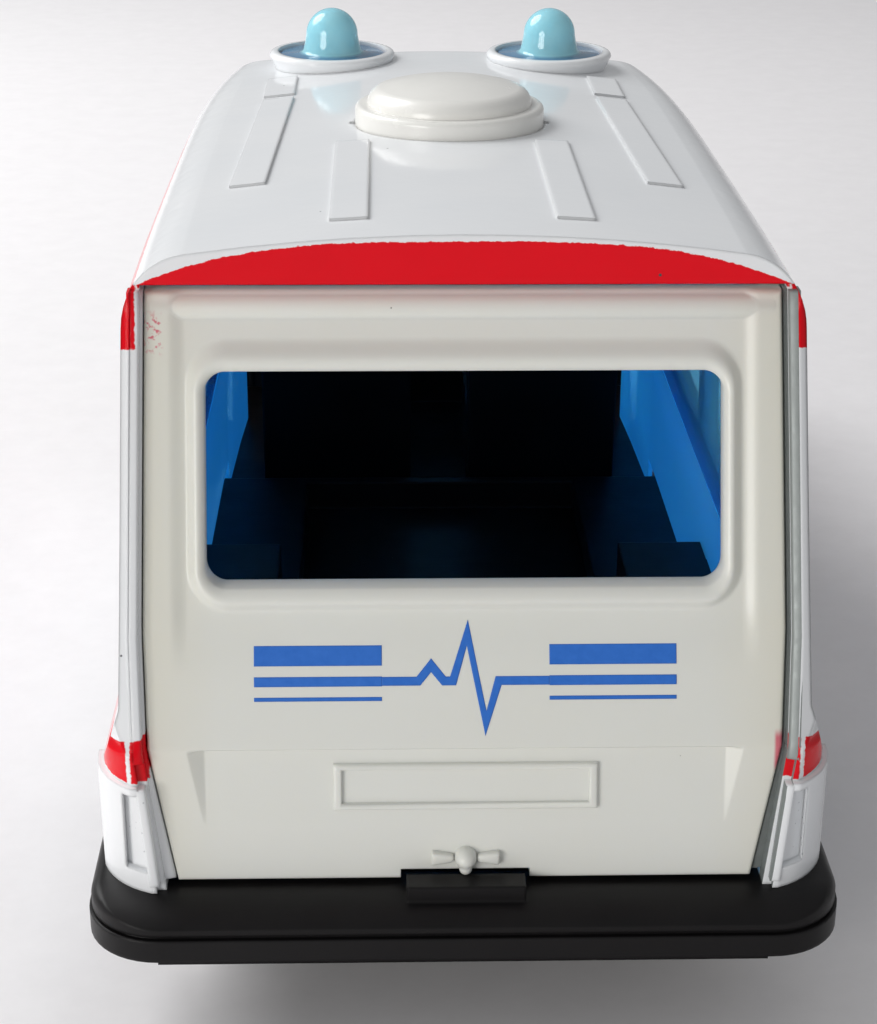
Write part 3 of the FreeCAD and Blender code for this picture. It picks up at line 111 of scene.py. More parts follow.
# %% Masks
def band(material, value, low, high, soft):
    """1 where the value lies between low and high, with edges of the given softness."""
    steps = [
        add(material, "MapRange", {0: value, 1: edge - soft, 2: edge + soft, 3: first, 4: 1 - first},
            interpolation_type="SMOOTHSTEP").outputs[0]
        for edge, first in ((low, 0), (high, 1))
    ]
    return add(material, "Math", {0: steps[0], 1: steps[1]}, operation="MULTIPLY").outputs[0]


def within(material, mask, soft, *limits):
    """The mask, kept only where each value lies between its two limits."""
    for value, low, high in limits:
        kept = band(material, value, low, high, soft)
        mask = add(material, "Math", {0: mask, 1: kept}, operation="MULTIPLY").outputs[0]
    return mask


def specks(material, place, spacing, size):
    """Small dots, about one in each spacing, up to the given size; both in millimetres."""
    cells = add(material, "TexVoronoi", {"Vector": place, "Scale": 1 / spacing})
    own = add(material, "SeparateColor", {0: cells.outputs["Color"]}).outputs[0]
    reach = add(material, "MapRange", {0: own, 1: 0.4, 2: 1.0, 3: 0.0, 4: size / spacing}).outputs[0]
    inside = add(material, "Math", {0: reach, 1: cells.outputs["Distance"]}, operation="SUBTRACT").outputs[0]
    return add(material, "MapRange", {0: inside, 1: 0.0, 2: size / spacing * 0.3}).outputs[0]


# %% [markdown]
# ## White lacquer with red bands, on die-cast metal
# The body is a zinc casting, dipped or sprayed in a thick white enamel and then masked and
# sprayed red. Enamel gives the eye three things: a clear gloss with a faint orange peel,
# edges that look a little round because the paint gathers there, and red edges that are ragged
# where the mask did not lie close. The bands could be separate meshes, but as paint they have
# no thickness, so masks of height, side and a little noise place them. The cabin's walls lie
# behind the blue glazing's lining, which the eye sees as deep blue: a mask finds those faces.
# Another finds the edge of the right rear pillar, which is painted grey as the shade that falls on that side.

# %% White lacquer with red bands
# places are in millimetres: across and along the toy from its middle, up from the ground
REAR_END = -60.0
NO_INNER, NO_OUTER, NO_TOP = -1.0, 30.0, 50.0
CRESCENT = {"low": 41.2, "high": 44.35, "foot": 41.7, "front": -44.0, "outer": 17.75}
CRESCENT_FALL = {"reach": 16.8, "power": 3.3, "drop": 1.96}
UPPER_BAND = {"low": 38.75, "high": 42.0, "inner": 17.85}
BELT_BAND = {"low": 16.5, "high": 18.9, "inner": 17.35}
BELT_GAP = {"inner": 18.3, "outer": 18.55, "front": -53.0}
LAMP_FIELD = {"inner": 17.45, "outer": 18.85, "low": 11.35, "high": 15.9, "front": -50.3}
GATE_SLANT = 0.3825  # how far the tailgate leans forwards for each millimetre of height
CABIN = {"outer": 18.3, "low": 8.0, "high": 43.6, "front": 30.0, "behind_gate": -57.4}
LEDGE = {"low": 19.0, "high": 40.0, "front": 16.0}
FACING = 0.35
RIGHT_RIM_SHADE = {"rear": -64.0, "front": -56.0, "low": 10.0, "high": 41.6}
PILLAR_SLOPE = {"fall": -0.5, "start": 9.0, "rear": -63.0, "front": -58.5, "low": 18.5, "high": 41.0}


def red_bands(material, place, across, ahead, up):
    """Where the red lies: the crescent over the tailgate, the upper band and the belt band."""
    side = add(material, "Math", {0: across}, operation="ABSOLUTE").outputs[0]
    noise = add(material, "TexNoise", {"Vector": place, "Scale": 2.6, "Detail": 3.0, "Roughness": 0.6}).outputs[0]
    drift = add(material, "MapRange", {0: noise, 1: 0.3, 2: 0.7, 3: -0.05, 4: 0.05}).outputs[0]
    height = add(material, "Math", {0: up, 1: drift}, operation="ADD").outputs[0]
    inset = add(material, "Math", {0: side, 1: drift}, operation="ADD").outputs[0]
    # the crescent's upper edge falls from the middle to the corners along a steep power curve
    part = add(material, "Math", {0: side, 1: CRESCENT_FALL["reach"]}, operation="DIVIDE").outputs[0]
    fall = add(material, "Math", {0: part, 1: CRESCENT_FALL["power"]}, operation="POWER").outputs[0]
    arched = add(material, "Math", {0: fall, 1: CRESCENT_FALL["drop"], 2: height}, operation="MULTIPLY_ADD").outputs[0]
    crescent = within(
        material, band(material, arched, CRESCENT["low"], CRESCENT["high"], 0.03), 0.05,
        (ahead, REAR_END, CRESCENT["front"]), (inset, NO_INNER, CRESCENT["outer"]), (up, CRESCENT["foot"], NO_TOP),
    )
    upper = within(material, band(material, height, UPPER_BAND["low"], UPPER_BAND["high"], 0.04), 0.04,
                   (inset, UPPER_BAND["inner"], NO_OUTER))
    # the belt band has a white gap at the rear corners
    lower = within(material, band(material, height, BELT_BAND["low"], BELT_BAND["high"], 0.04), 0.04,
                   (inset, BELT_BAND["inner"], NO_OUTER))
    gap = within(material, band(material, inset, BELT_GAP["inner"], BELT_GAP["outer"], 0.04), 0.1,
                 (ahead, REAR_END, BELT_GAP["front"]))
    lower = add(material, "Math", {0: lower, 1: gap}, operation="SUBTRACT", use_clamp=True).outputs[0]
    red = add(material, "Math", {0: upper, 1: lower}, operation="MAXIMUM").outputs[0]
    red = add(material, "Math", {0: red, 1: crescent}, operation="MAXIMUM").outputs[0]
    chips = specks(material, place, 3.0, 0.15)
    return add(material, "Math", {0: red, 1: chips}, operation="SUBTRACT", use_clamp=True).outputs[0]


def cabin_side(material, across, ahead, up):
    """Masks of the faces that look into the cabin and of the right side's rim, which is painted grey as shade; the
    depth from the tailgate.
    """
    facing = add(material, "TexCoord").outputs["Normal"]
    turned_x, turned_y, turned_z = add(material, "SeparateXYZ", {0: facing}).outputs
    outwards = add(material, "Math", {0: across}, operation="SIGN").outputs[0]
    sideways = add(material, "Math", {0: turned_x, 1: outwards}, operation="MULTIPLY").outputs[0]
    inwards = add(material, "Math", {0: sideways, 1: -FACING}, operation="LESS_THAN").outputs[0]
    looks = inwards
    for other in (turned_y, turned_z):
        turned = add(material, "Math", {0: other, 1: -FACING}, operation="LESS_THAN").outputs[0]
        looks = add(material, "Math", {0: looks, 1: turned}, operation="MAXIMUM").outputs[0]
    # the ledges under the side windows look up, as the bonnet does, so they are kept apart from it
    ledge = within(material, add(material, "Math", {0: turned_z, 1: FACING}, operation="GREATER_THAN").outputs[0], 0.05,
                   (up, LEDGE["low"], LEDGE["high"]), (ahead, REAR_END, LEDGE["front"]))
    looks = add(material, "Math", {0: looks, 1: ledge}, operation="MAXIMUM").outputs[0]
    side = add(material, "Math", {0: across}, operation="ABSOLUTE").outputs[0]
    behind = add(material, "Math", {0: up, 1: -GATE_SLANT, 2: ahead}, operation="MULTIPLY_ADD").outputs[0]
    inside = within(
        material, looks, 0.05, (side, NO_INNER, CABIN["outer"]), (up, CABIN["low"], CABIN["high"]),
        (ahead, REAR_END, CABIN["front"]), (behind, CABIN["behind_gate"], CABIN["front"]),
    )
    # the right side's rim: faces turned inwards by the opening, kept for a grey of painted shade
    rim = add(material, "Math", {0: inwards, 1: inside}, operation="SUBTRACT", use_clamp=True).outputs[0]
    rim = within(material, rim, 0.05, (across, 0.0, CABIN["outer"]), (behind, RIGHT_RIM_SHADE["rear"], RIGHT_RIM_SHADE["front"]),
                 (up, RIGHT_RIM_SHADE["low"], RIGHT_RIM_SHADE["high"]))
    return inside, rim, behind


def make_body_paint():
    material, shader, place = start_material("enamel_white_and_red_on_zinc", Roughness=0.09, IOR=1.5,
                                             Specular_IOR_Level=0.22)
    across, ahead, up = add(material, "SeparateXYZ", {0: place}).outputs
    side = add(material, "Math", {0: across}, operation="ABSOLUTE").outputs[0]
    # white that turns a little grey in patches
    patches = add(material, "TexNoise", {"Vector": place, "Scale": 0.12, "Detail": 3.0}).outputs[0]
    white = add(material, "Mix", {0: patches, 6: linear("#E2E5E8"), 7: linear("#ECEDEE")}, data_type="RGBA").outputs[2]
    # the lamp fields cast in the rear corners, worn to grey speckles by the mask that lay on them
    speckled = within(
        material, specks(material, place, 0.42, 0.11), 0.08, (side, LAMP_FIELD["inner"], LAMP_FIELD["outer"]),
        (up, LAMP_FIELD["low"], LAMP_FIELD["high"]), (ahead, REAR_END, LAMP_FIELD["front"]),
    )
    white = add(material, "Mix", {0: speckled, 6: white, 7: linear("#A4A7AD")}, data_type="RGBA").outputs[2]
    red_tone = add(material, "Mix", {0: patches, 6: linear("#D80014"), 7: linear("#E60018")},
                   data_type="RGBA").outputs[2]
    red = red_bands(material, place, across, ahead, up)
    colour = add(material, "Mix", {0: red, 6: white, 7: red_tone}, data_type="RGBA").outputs[2]
    pits = specks(material, place, 3.6, 0.12)
    colour = add(material, "Mix", {0: pits, 6: colour, 7: linear("#4A4C50")}, data_type="RGBA").outputs[2]
    inside, rim, behind = cabin_side(material, across, ahead, up)
    # painted shade: the right rear pillar's edge turns grey because that side lies out of the light
    colour = add(material, "Mix", {0: rim, 6: colour, 7: linear("#7E8483")}, data_type="RGBA").outputs[2]
    lining = add(material, "Mix", {0: patches, 6: linear("#9CD0FC"), 7: linear("#ACD8FE")}, data_type="RGBA").outputs[2]
    colour = add(material, "Mix", {0: inside, 6: colour, 7: lining}, data_type="RGBA").outputs[2]
    # the pillars' rear faces are cast with a slope that falls outwards: a relief that falls by half
    # its width tilts their gloss as the real slope does
    slope = add(material, "Math", {0: side, 1: PILLAR_SLOPE["fall"], 2: PILLAR_SLOPE["start"]},
                operation="MULTIPLY_ADD").outputs[0]
    slope = within(material, slope, 0.6, (behind, PILLAR_SLOPE["rear"], PILLAR_SLOPE["front"]),
                   (up, PILLAR_SLOPE["low"], PILLAR_SLOPE["high"]))
    # orange peel of about a millimetre, on edges rounded by the paint
    peel = add(material, "TexNoise", {"Vector": place, "Scale": 0.8, "Detail": 2.0}).outputs[0]
    skin = add(material, "Bevel", {"Radius": 0.3 * MM}, samples=6).outputs[0]
    for relief, strength, depth in ((peel, 0.3, 0.02), (speckled, 0.5, 0.03), (red, 0.4, 0.05), (slope, 1.0, 1.0)):
        skin = add(material, "Bump", {"Strength": strength, "Distance": depth * MM, "Height": relief,
                                      "Normal": skin}).outputs[0]
    feed(material, shader, Base_Color=colour, Normal=skin)
    return material


BODY_PAINT = make_body_paint()
print("made", BODY_PAINT.name, len(BODY_PAINT.node_tree.nodes), "nodes")

# %% [markdown]
# ## Cream moulded plastic
# The tailgate is injection-moulded in a cream plastic that yellows unevenly with age. A little
# light goes under its surface, which makes edges glow and relief look soft, so the shader has a
# small subsurface share. Its gloss is lower than the enamel's, with a very fine moulding grain.
# It was in its place when the body's red was touched up, and caught a few red specks.

# %% Cream moulded plastic
YELLOWED = {"from": 13.5, "to": 17.4, "share": 0.6}
SPRAY_LEFT = {"inner": -18.0, "outer": -16.5, "low": 38.4, "high": 40.2}
SPRAY_RIGHT = {"inner": 17.05, "outer": 18.0, "low": 16.7, "high": 18.7}


def make_cream_plastic():
    material, shader, place = start_material(
        "aged_cream_moulded_plastic", Roughness=0.3, IOR=1.49, Subsurface_Weight=0.12,
        Subsurface_Radius=(1.0, 0.85, 0.6), Subsurface_Scale=0.4 * MM,
    )
    across, ahead, up = add(material, "SeparateXYZ", {0: place}).outputs
    edge = add(material, "Math", {0: across}, operation="ABSOLUTE").outputs[0]
    patches = add(material, "TexNoise", {"Vector": place, "Scale": 0.09, "Detail": 4.0, "Roughness": 0.55}).outputs[0]
    yellowed = add(material, "MapRange", {0: edge, 1: YELLOWED["from"], 2: YELLOWED["to"], 3: 0.0,
                                          4: YELLOWED["share"]}).outputs[0]
    aged = add(material, "Math", {0: patches, 1: 0.5, 2: yellowed}, operation="MULTIPLY_ADD", use_clamp=True).outputs[0]
    colour = add(material, "Mix", {0: aged, 6: linear("#E0E2DE"), 7: linear("#DEDCCF")}, data_type="RGBA").outputs[2]
    dirt = specks(material, place, 3.1, 0.11)
    colour = add(material, "Mix", {0: dirt, 6: colour, 7: linear("#5A5850")}, data_type="RGBA").outputs[2]
    grain = add(material, "TexNoise", {"Vector": place, "Scale": 4.0, "Detail": 2.0}).outputs[0]
    spray = add(material, "MapRange", {0: grain, 1: 0.53, 2: 0.66}).outputs[0]
    left = within(material, band(material, across, SPRAY_LEFT["inner"], SPRAY_LEFT["outer"], 0.2), 0.4,
                  (up, SPRAY_LEFT["low"], SPRAY_LEFT["high"]))
    right = within(material, band(material, across, SPRAY_RIGHT["inner"], SPRAY_RIGHT["outer"], 0.1), 0.3,
                   (up, SPRAY_RIGHT["low"], SPRAY_RIGHT["high"]))
    caught = add(material, "Math", {0: left, 1: spray, 2: right}, operation="MULTIPLY_ADD", use_clamp=True).outputs[0]
    colour = add(material, "Mix", {0: caught, 6: colour, 7: linear("#D4707C")}, data_type="RGBA").outputs[2]
    rounded = add(material, "Bevel", {"Radius": 0.12 * MM}, samples=6).outputs[0]
    skin = add(material, "Bump", {"Strength": 0.25, "Distance": 0.01 * MM, "Height": grain, "Normal": rounded})
    feed(material, shader, Base_Color=colour, Normal=skin.outputs[0])
    return material


CREAM_PLASTIC = make_cream_plastic()
print("made", CREAM_PLASTIC.name)

# %% [markdown]
# ## Black moulded plastic
# The base with its bumpers, and the inside, are one kind of black plastic. It is not quite
# black: it reflects the room as a dull brown-grey, handling has polished it in places, and
# dust sits on it as tiny pale dots.

# %% Black moulded plastic
def make_black_plastic():
    material, shader, place = start_material("dusty_black_moulded_plastic", IOR=1.49, Specular_IOR_Level=0.22)
    wear = add(material, "TexNoise", {"Vector": place, "Scale": 0.25, "Detail": 5.0, "Roughness": 0.6}).outputs[0]
    dull = add(material, "MapRange", {0: wear, 1: 0.3, 2: 0.7, 3: 0.3, 4: 0.45}).outputs[0]
    colour = add(material, "Mix", {0: wear, 6: linear("#0B0A0B"), 7: linear("#141213")}, data_type="RGBA").outputs[2]
    dust = specks(material, place, 1.9, 0.075)
    colour = add(material, "Mix", {0: dust, 6: colour, 7: linear("#77736F")}, data_type="RGBA").outputs[2]
    flow = add(material, "Mapping", {"Vector": place, "Scale": (0.25, 2.0, 2.0)}).outputs[0]
    lines = add(material, "TexNoise", {"Vector": flow, "Scale": 1.6, "Detail": 4.0}).outputs[0]
    rounded = add(material, "Bevel", {"Radius": 0.25 * MM}, samples=6).outputs[0]
    skin = add(material, "Bump", {"Strength": 0.3, "Distance": 0.02 * MM, "Height": lines, "Normal": rounded})
    feed(material, shader, Base_Color=colour, Roughness=dull, Normal=skin.outputs[0])
    return material


BLACK_PLASTIC = make_black_plastic()
print("made", BLACK_PLASTIC.name)

# %% [markdown]
# ## Clear blue plastic
# Glazing and beacons are moulded in clear polystyrene or acrylic with a dye. Transmission lets
# light through, and the base colour is what the dye leaves of it. The beacons are pale, because
# their domes are thin shells full of light. Their flanges are deep blue: partly the thicker plastic,
# partly painted shade of the dark hole under them. A share of plain scattering stands for the fine
# haze that makes such domes glow. Acrylic's IOR is 1.49; the panes have less, because they are thin
# and seen at a slant, and the real ones hardly bend or hold back what is behind them. The moulding's
# lower part lies behind the body's wall and still shines blue, because the plastic pipes light down
# to it from the windows. A ray tracer with few bounces misses that, so this part gives off a little blue of its own.

# %% Clear blue plastic
FLANGE_TOP = 45.1


def make_blue_glazing(name, clear, glow):
    """The dyed acrylic, with the share of light that goes straight through and the glow piped into it."""
    material, shader, place = start_material(name, Base_Color=linear("#70CAF4"), Roughness=0.03, IOR=1.06,
                                             Transmission_Weight=clear, Subsurface_Weight=1.0,
                                             Subsurface_Radius=(0.4, 0.9, 1.4), Subsurface_Scale=1.0 * MM,
                                             Emission_Color=linear("#1C7CC4"), Emission_Strength=glow)
    ripple = add(material, "TexNoise", {"Vector": place, "Scale": 0.18, "Detail": 2.0}).outputs[0]
    skin = add(material, "Bump", {"Strength": 0.3, "Distance": 0.05 * MM, "Height": ripple})
    feed(material, shader, Normal=skin.outputs[0])
    return material


def make_beacon_blue():
    material, shader, place = start_material("pale_blue_clear_polystyrene", Roughness=0.05, IOR=1.57,
                                             Specular_IOR_Level=0.35, Transmission_Weight=0.3)
    up = add(material, "SeparateXYZ", {0: place}).outputs[2]
    # below the flange's top the colour is deep blue: partly the thicker plastic, partly painted shade of the dark hole
    # under it
    low = add(material, "MapRange", {0: up, 1: FLANGE_TOP - 0.1, 2: FLANGE_TOP + 0.1, 3: 1.0, 4: 0.0}).outputs[0]
    streak = add(material, "TexNoise", {"Vector": place, "Scale": 0.9, "Detail": 3.0}).outputs[0]
    dome = add(material, "Mix", {0: streak, 6: linear("#A0ECFF"), 7: linear("#B8F4FF")}, data_type="RGBA").outputs[2]
    colour = add(material, "Mix", {0: low, 6: dome, 7: linear("#0A4A98")}, data_type="RGBA").outputs[2]
    skin = add(material, "Bump", {"Strength": 0.3, "Distance": 0.02 * MM, "Height": streak})
    feed(material, shader, Base_Color=colour, Normal=skin.outputs[0])
    return material


BLUE_GLAZING = make_blue_glazing("dyed_blue_clear_acrylic", 0.8, 0.0)
PIPED_BLUE = make_blue_glazing("dyed_blue_acrylic_that_pipes_light", 0.5, 0.26)
BEACON_BLUE = make_beacon_blue()
print("made", BLUE_GLAZING.name, PIPED_BLUE.name, "and", BEACON_BLUE.name)

# %% [markdown]
# ## The smaller finishes
# Vacuum-plated plastic hubs, soft tyres, steel wire, rivets, clear lamps and a black grille.
# Plating is a metal to the eye, whatever lies under it, so it is metallic with a low roughness.
# The tyres are soft PVC: nearly black and dull, with a faint mottle. A zinc grey stands as
# painted shade on the right rear corner, and the tailgate's print is one matt blue ink.

# %% The smaller finishes
def make_plain(name, dark, light, scale, roughness, bump, **sockets):
    """A finish of two close colours in a noise pattern, with a slight relief of its own."""
    material, shader, place = start_material(name, **sockets)
    pattern = add(material, "TexNoise", {"Vector": place, "Scale": scale, "Detail": 4.0, "Roughness": 0.6}).outputs[0]
    colour = add(material, "Mix", {0: pattern, 6: linear(dark), 7: linear(light)}, data_type="RGBA").outputs[2]
    gloss = add(material, "MapRange", {0: pattern, 1: 0.3, 2: 0.7, 3: roughness * 0.8, 4: roughness * 1.2}).outputs[0]
    rounded = add(material, "Bevel", {"Radius": 0.1 * MM}, samples=4).outputs[0]
    skin = add(material, "Bump", {"Strength": 0.4, "Distance": bump * MM, "Height": pattern, "Normal": rounded})
    feed(material, shader, Base_Color=colour, Roughness=gloss, Normal=skin.outputs[0])
    return material


HUB_SILVER = make_plain("vacuum_plated_hub", "#9FA1A3", "#C6C8CA", 0.8, 0.28, 0.01, Metallic=0.85)
TYRE_BLACK = make_plain("soft_pvc_tyre", "#161616", "#232221", 2.0, 0.62, 0.02, IOR=1.52)
STEEL = make_plain("drawn_steel_wire", "#8A8A88", "#B4B4B0", 3.0, 0.3, 0.005, Metallic=1.0)
RIVET_METAL = make_plain("headed_zinc_rivet", "#84868A", "#A6A8AB", 1.5, 0.4, 0.02, Metallic=1.0)
LAMP_CLEAR = make_plain("silvered_clear_lamp", "#B9C0C6", "#DDE3E8", 0.9, 0.12, 0.02, Metallic=0.3, IOR=1.49)
GRILLE_BLACK = make_plain("black_grille_plastic", "#141415", "#242427", 1.5, 0.4, 0.01, IOR=1.49)
# a zinc grey used as painted shade on the right rear corner
RIGHT_SIDE_SHADE_GREY = make_plain("right_corner_painted_shade_grey", "#7C8280", "#929796", 1.8, 0.42, 0.03, Metallic=0.25)
BLUE_INK = make_plain("pad_printed_blue_ink", "#1F63C0", "#2C74D2", 2.5, 0.42, 0.006, IOR=1.48)
VENT_PLASTIC = make_plain("cream_vent_plastic", "#E4E3DE", "#EBEAE6", 0.3, 0.24, 0.01, IOR=1.49)

FINISHES = {
    "body_shell": BODY_PAINT, "tailgate_pin": STEEL, "chassis_base": BLACK_PLASTIC,
    "base_rivets": RIVET_METAL, "interior_tub": BLACK_PLASTIC, "steering_wheel": BLACK_PLASTIC,
    "side_glass_left": BLUE_GLAZING, "side_glass_right": BLUE_GLAZING, "windscreen": BLUE_GLAZING,
    "roof_vent": VENT_PLASTIC, "headlamp_left": LAMP_CLEAR, "headlamp_right": LAMP_CLEAR,
    "grille": GRILLE_BLACK, "rear_axle": STEEL, "front_axle": STEEL,
}
for place_name in ("rear", "front"):
    for side_name in ("left", "right"):
        FINISHES[f"{place_name}_hub_{side_name}"] = HUB_SILVER
        FINISHES[f"{place_name}_tyre_{side_name}"] = TYRE_BLACK


def dress(thing, material):
    """Gives every material slot of an object the same finish."""
    if not thing.material_slots:
        thing.data.materials.append(material)
    for slot in thing.material_slots:
        slot.material = material


for node_name, finish in FINISHES.items():
    dress(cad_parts[node_name], finish)
print("dressed", len(FINISHES), "nodes")

# %% [markdown]
# ## From a bmesh to a finished piece
# New pieces are modelled in millimetres, with lengths taken from the bumper's rear face, which
# are the numbers that a drawing of the toy would carry. One function then merges doubles, turns
# the faces outwards, moves the mesh to the toy's frame and makes the piece ride on its body.

# %% From a bmesh to a finished piece
HALF_LENGTH = 57.5


def finish_piece(bm, name, material, body, sharp=35):
    """Puts a bmesh, drawn in millimetres from the rear, into the scene as a finished piece."""
    bmesh.ops.remove_doubles(bm, verts=bm.verts, dist=0.0005)
    bmesh.ops.recalc_face_normals(bm, faces=bm.faces)
    bmesh.ops.translate(bm, vec=(0, -HALF_LENGTH, 0), verts=bm.verts)
    bmesh.ops.scale(bm, vec=(MM, MM, MM), verts=bm.verts)
    mesh = bpy.data.meshes.new(name)
    bm.to_mesh(mesh)
    bm.free()
    mesh.shade_smooth()
    mesh.set_sharp_from_angle(angle=math.radians(sharp))
    thing = bpy.data.objects.new(name, mesh)
    bpy.context.scene.collection.objects.link(thing)
    dress(thing, material)
    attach(thing, body)
    print(name, len(mesh.polygons), "faces")
    return thing


# %% [markdown]
# ## The tailgate's surface
# The tailgate is a slanted sheet with soft relief: a field around the window, sunk a little and
# fading out towards the belt, a round lip at the window's edge, and a lower panel that steps in
# under the belt. Such forms are easiest as a height over the sheet. The function below is that
# height at any point across (x) and up (z), and everything on the tailgate is laid on it.

# %% The tailgate's surface
GATE_FOOT, GATE_BELT, GATE_WAIST, GATE_TOP = 10.3, 18.0, 24.0, 41.4
GATE_LINE = ((GATE_FOOT, 3.4), (GATE_BELT, 4.4), (GATE_TOP, 13.35))
GATE_HALF = ((GATE_FOOT, 16.0), (GATE_BELT, 17.46), (GATE_WAIST, 17.66), (GATE_TOP, 17.41))
GATE_THICK = 1.2
# rounded rectangles: half width, low and high edge, corner radius
WINDOW = (14.2, 26.3, 37.35, 1.15)
LIP = (15.25, 24.95, 38.9, 2.3)
FIELD = (16.0, 20.0, 46.0, 2.2)
FIELD_DEEP, FIELD_FADES, FIELD_STEP = 0.3, (21.5, 25.5), (-0.2, 0.8)
LIP_HIGH, LIP_EDGE, LIP_CREST, LIP_FLANK = 0.6, 0.3, 0.4, 1.6
WEDGE = {"deep": 0.55, "foot": 13.6, "half": 14.45, "flare": 0.9, "wall": 0.85, "least_wall": 0.1, "edge": 0.2}
RIM_ROUND = 0.22


def along(table, at):
    """The value of a bent line, given by its corners, at a height."""
    for (low, first), (high, last) in zip(table, table[1:]):
        if at <= high or (high, last) == table[-1]:
            return first + (last - first) * (at - low) / (high - low)


def soft_step(low, high, value):
    """0 before low, 1 past high and a smooth way between them."""
    t = min(max((value - low) / (high - low), 0), 1)
    return t * t * (3 - 2 * t)


def off_frame(x, z, half, low, high, radius):
    """The distance from a rounded rectangle's outline, less than zero inside it."""
    dx = abs(x) - half + radius
    dz = abs(z - (low + high) / 2) - (high - low) / 2 + radius
    return math.hypot(max(dx, 0), max(dz, 0)) + min(max(dx, dz), 0) - radius


def lip_rise(x, z):
    """The round lip: steep and low at the window's edge, gentle on its outer side."""
    inner, outer = off_frame(x, z, *WINDOW), -off_frame(x, z, *LIP)
    if outer <= 0:
        return 0
    part = max(inner, 0) / (max(inner, 0) + outer)
    if part < LIP_CREST:
        return LIP_HIGH - LIP_EDGE * ((LIP_CREST - part) / LIP_CREST) ** 2
    return LIP_HIGH * math.cos(math.pi / 2 * (part - LIP_CREST) / (1 - LIP_CREST)) ** LIP_FLANK


def wedge_drop(x, z):
    """The lower panel: deepest at the belt, run out half way down, with slanting side walls."""
    share = (z - WEDGE["foot"]) / (GATE_BELT - WEDGE["foot"])
    if not 0 < share <= 1:
        return 0
    wall = (WEDGE["half"] + WEDGE["flare"] * share - abs(x)) / (WEDGE["wall"] * share + WEDGE["least_wall"])
    return WEDGE["deep"] * share * min(max(wall, 0), 1) * soft_step(GATE_BELT, GATE_BELT - WEDGE["edge"], z)


def gate_rise(x, z):
    """How far the tailgate's outer surface stands out from its plain sheet."""
    rise = -FIELD_DEEP * soft_step(*FIELD_STEP, -off_frame(x, z, *FIELD)) * soft_step(*FIELD_FADES, z)
    rise += lip_rise(x, z) - wedge_drop(x, z)
    edge = min(along(GATE_HALF, z) - abs(x), z - GATE_FOOT, GATE_TOP - z)
    if edge < RIM_ROUND:
        rise -= RIM_ROUND - math.sqrt(max(RIM_ROUND ** 2 - (RIM_ROUND - max(edge, 0)) ** 2, 0))
    return rise


def gate_face(x, z):
    """Where the tailgate's outer surface lies: its distance from the rear."""
    return along(GATE_LINE, z) - gate_rise(x, z)


print("window lip stands at", round(gate_face(0, 25.9), 2), "mm, the sheet at", round(along(GATE_LINE, 25.9), 2))

# %% [markdown]
# ## The tailgate
# It starts from a flat grid. Faces near the window and the rim are subdivided, the window and
# the notch for the bumper's step are taken out, and the hole's edge is drawn to a true rounded
# rectangle. An extrusion gives the sheet its thickness, and the outer points then move by the
# height above, as one would sculpt them. The barrel that turns on the pin is a cylinder.

# %% The tailgate
GATE_GRID = {"x_segments": 140, "y_segments": 124}
NOTCH_HALF, NOTCH_TOP = 3.6, 10.9
BARREL = {"radius": 0.95, "length": 34.2, "ahead": 13.95, "up": 40.3, "round": 0.15}
FINE = {"crease": 17.9, "crease_half": 15.6, "wall": 14.7, "wall_low": 13.5, "wall_high": 18.1, "step": 15.8,
        "step_low": 21}
FAR = 9


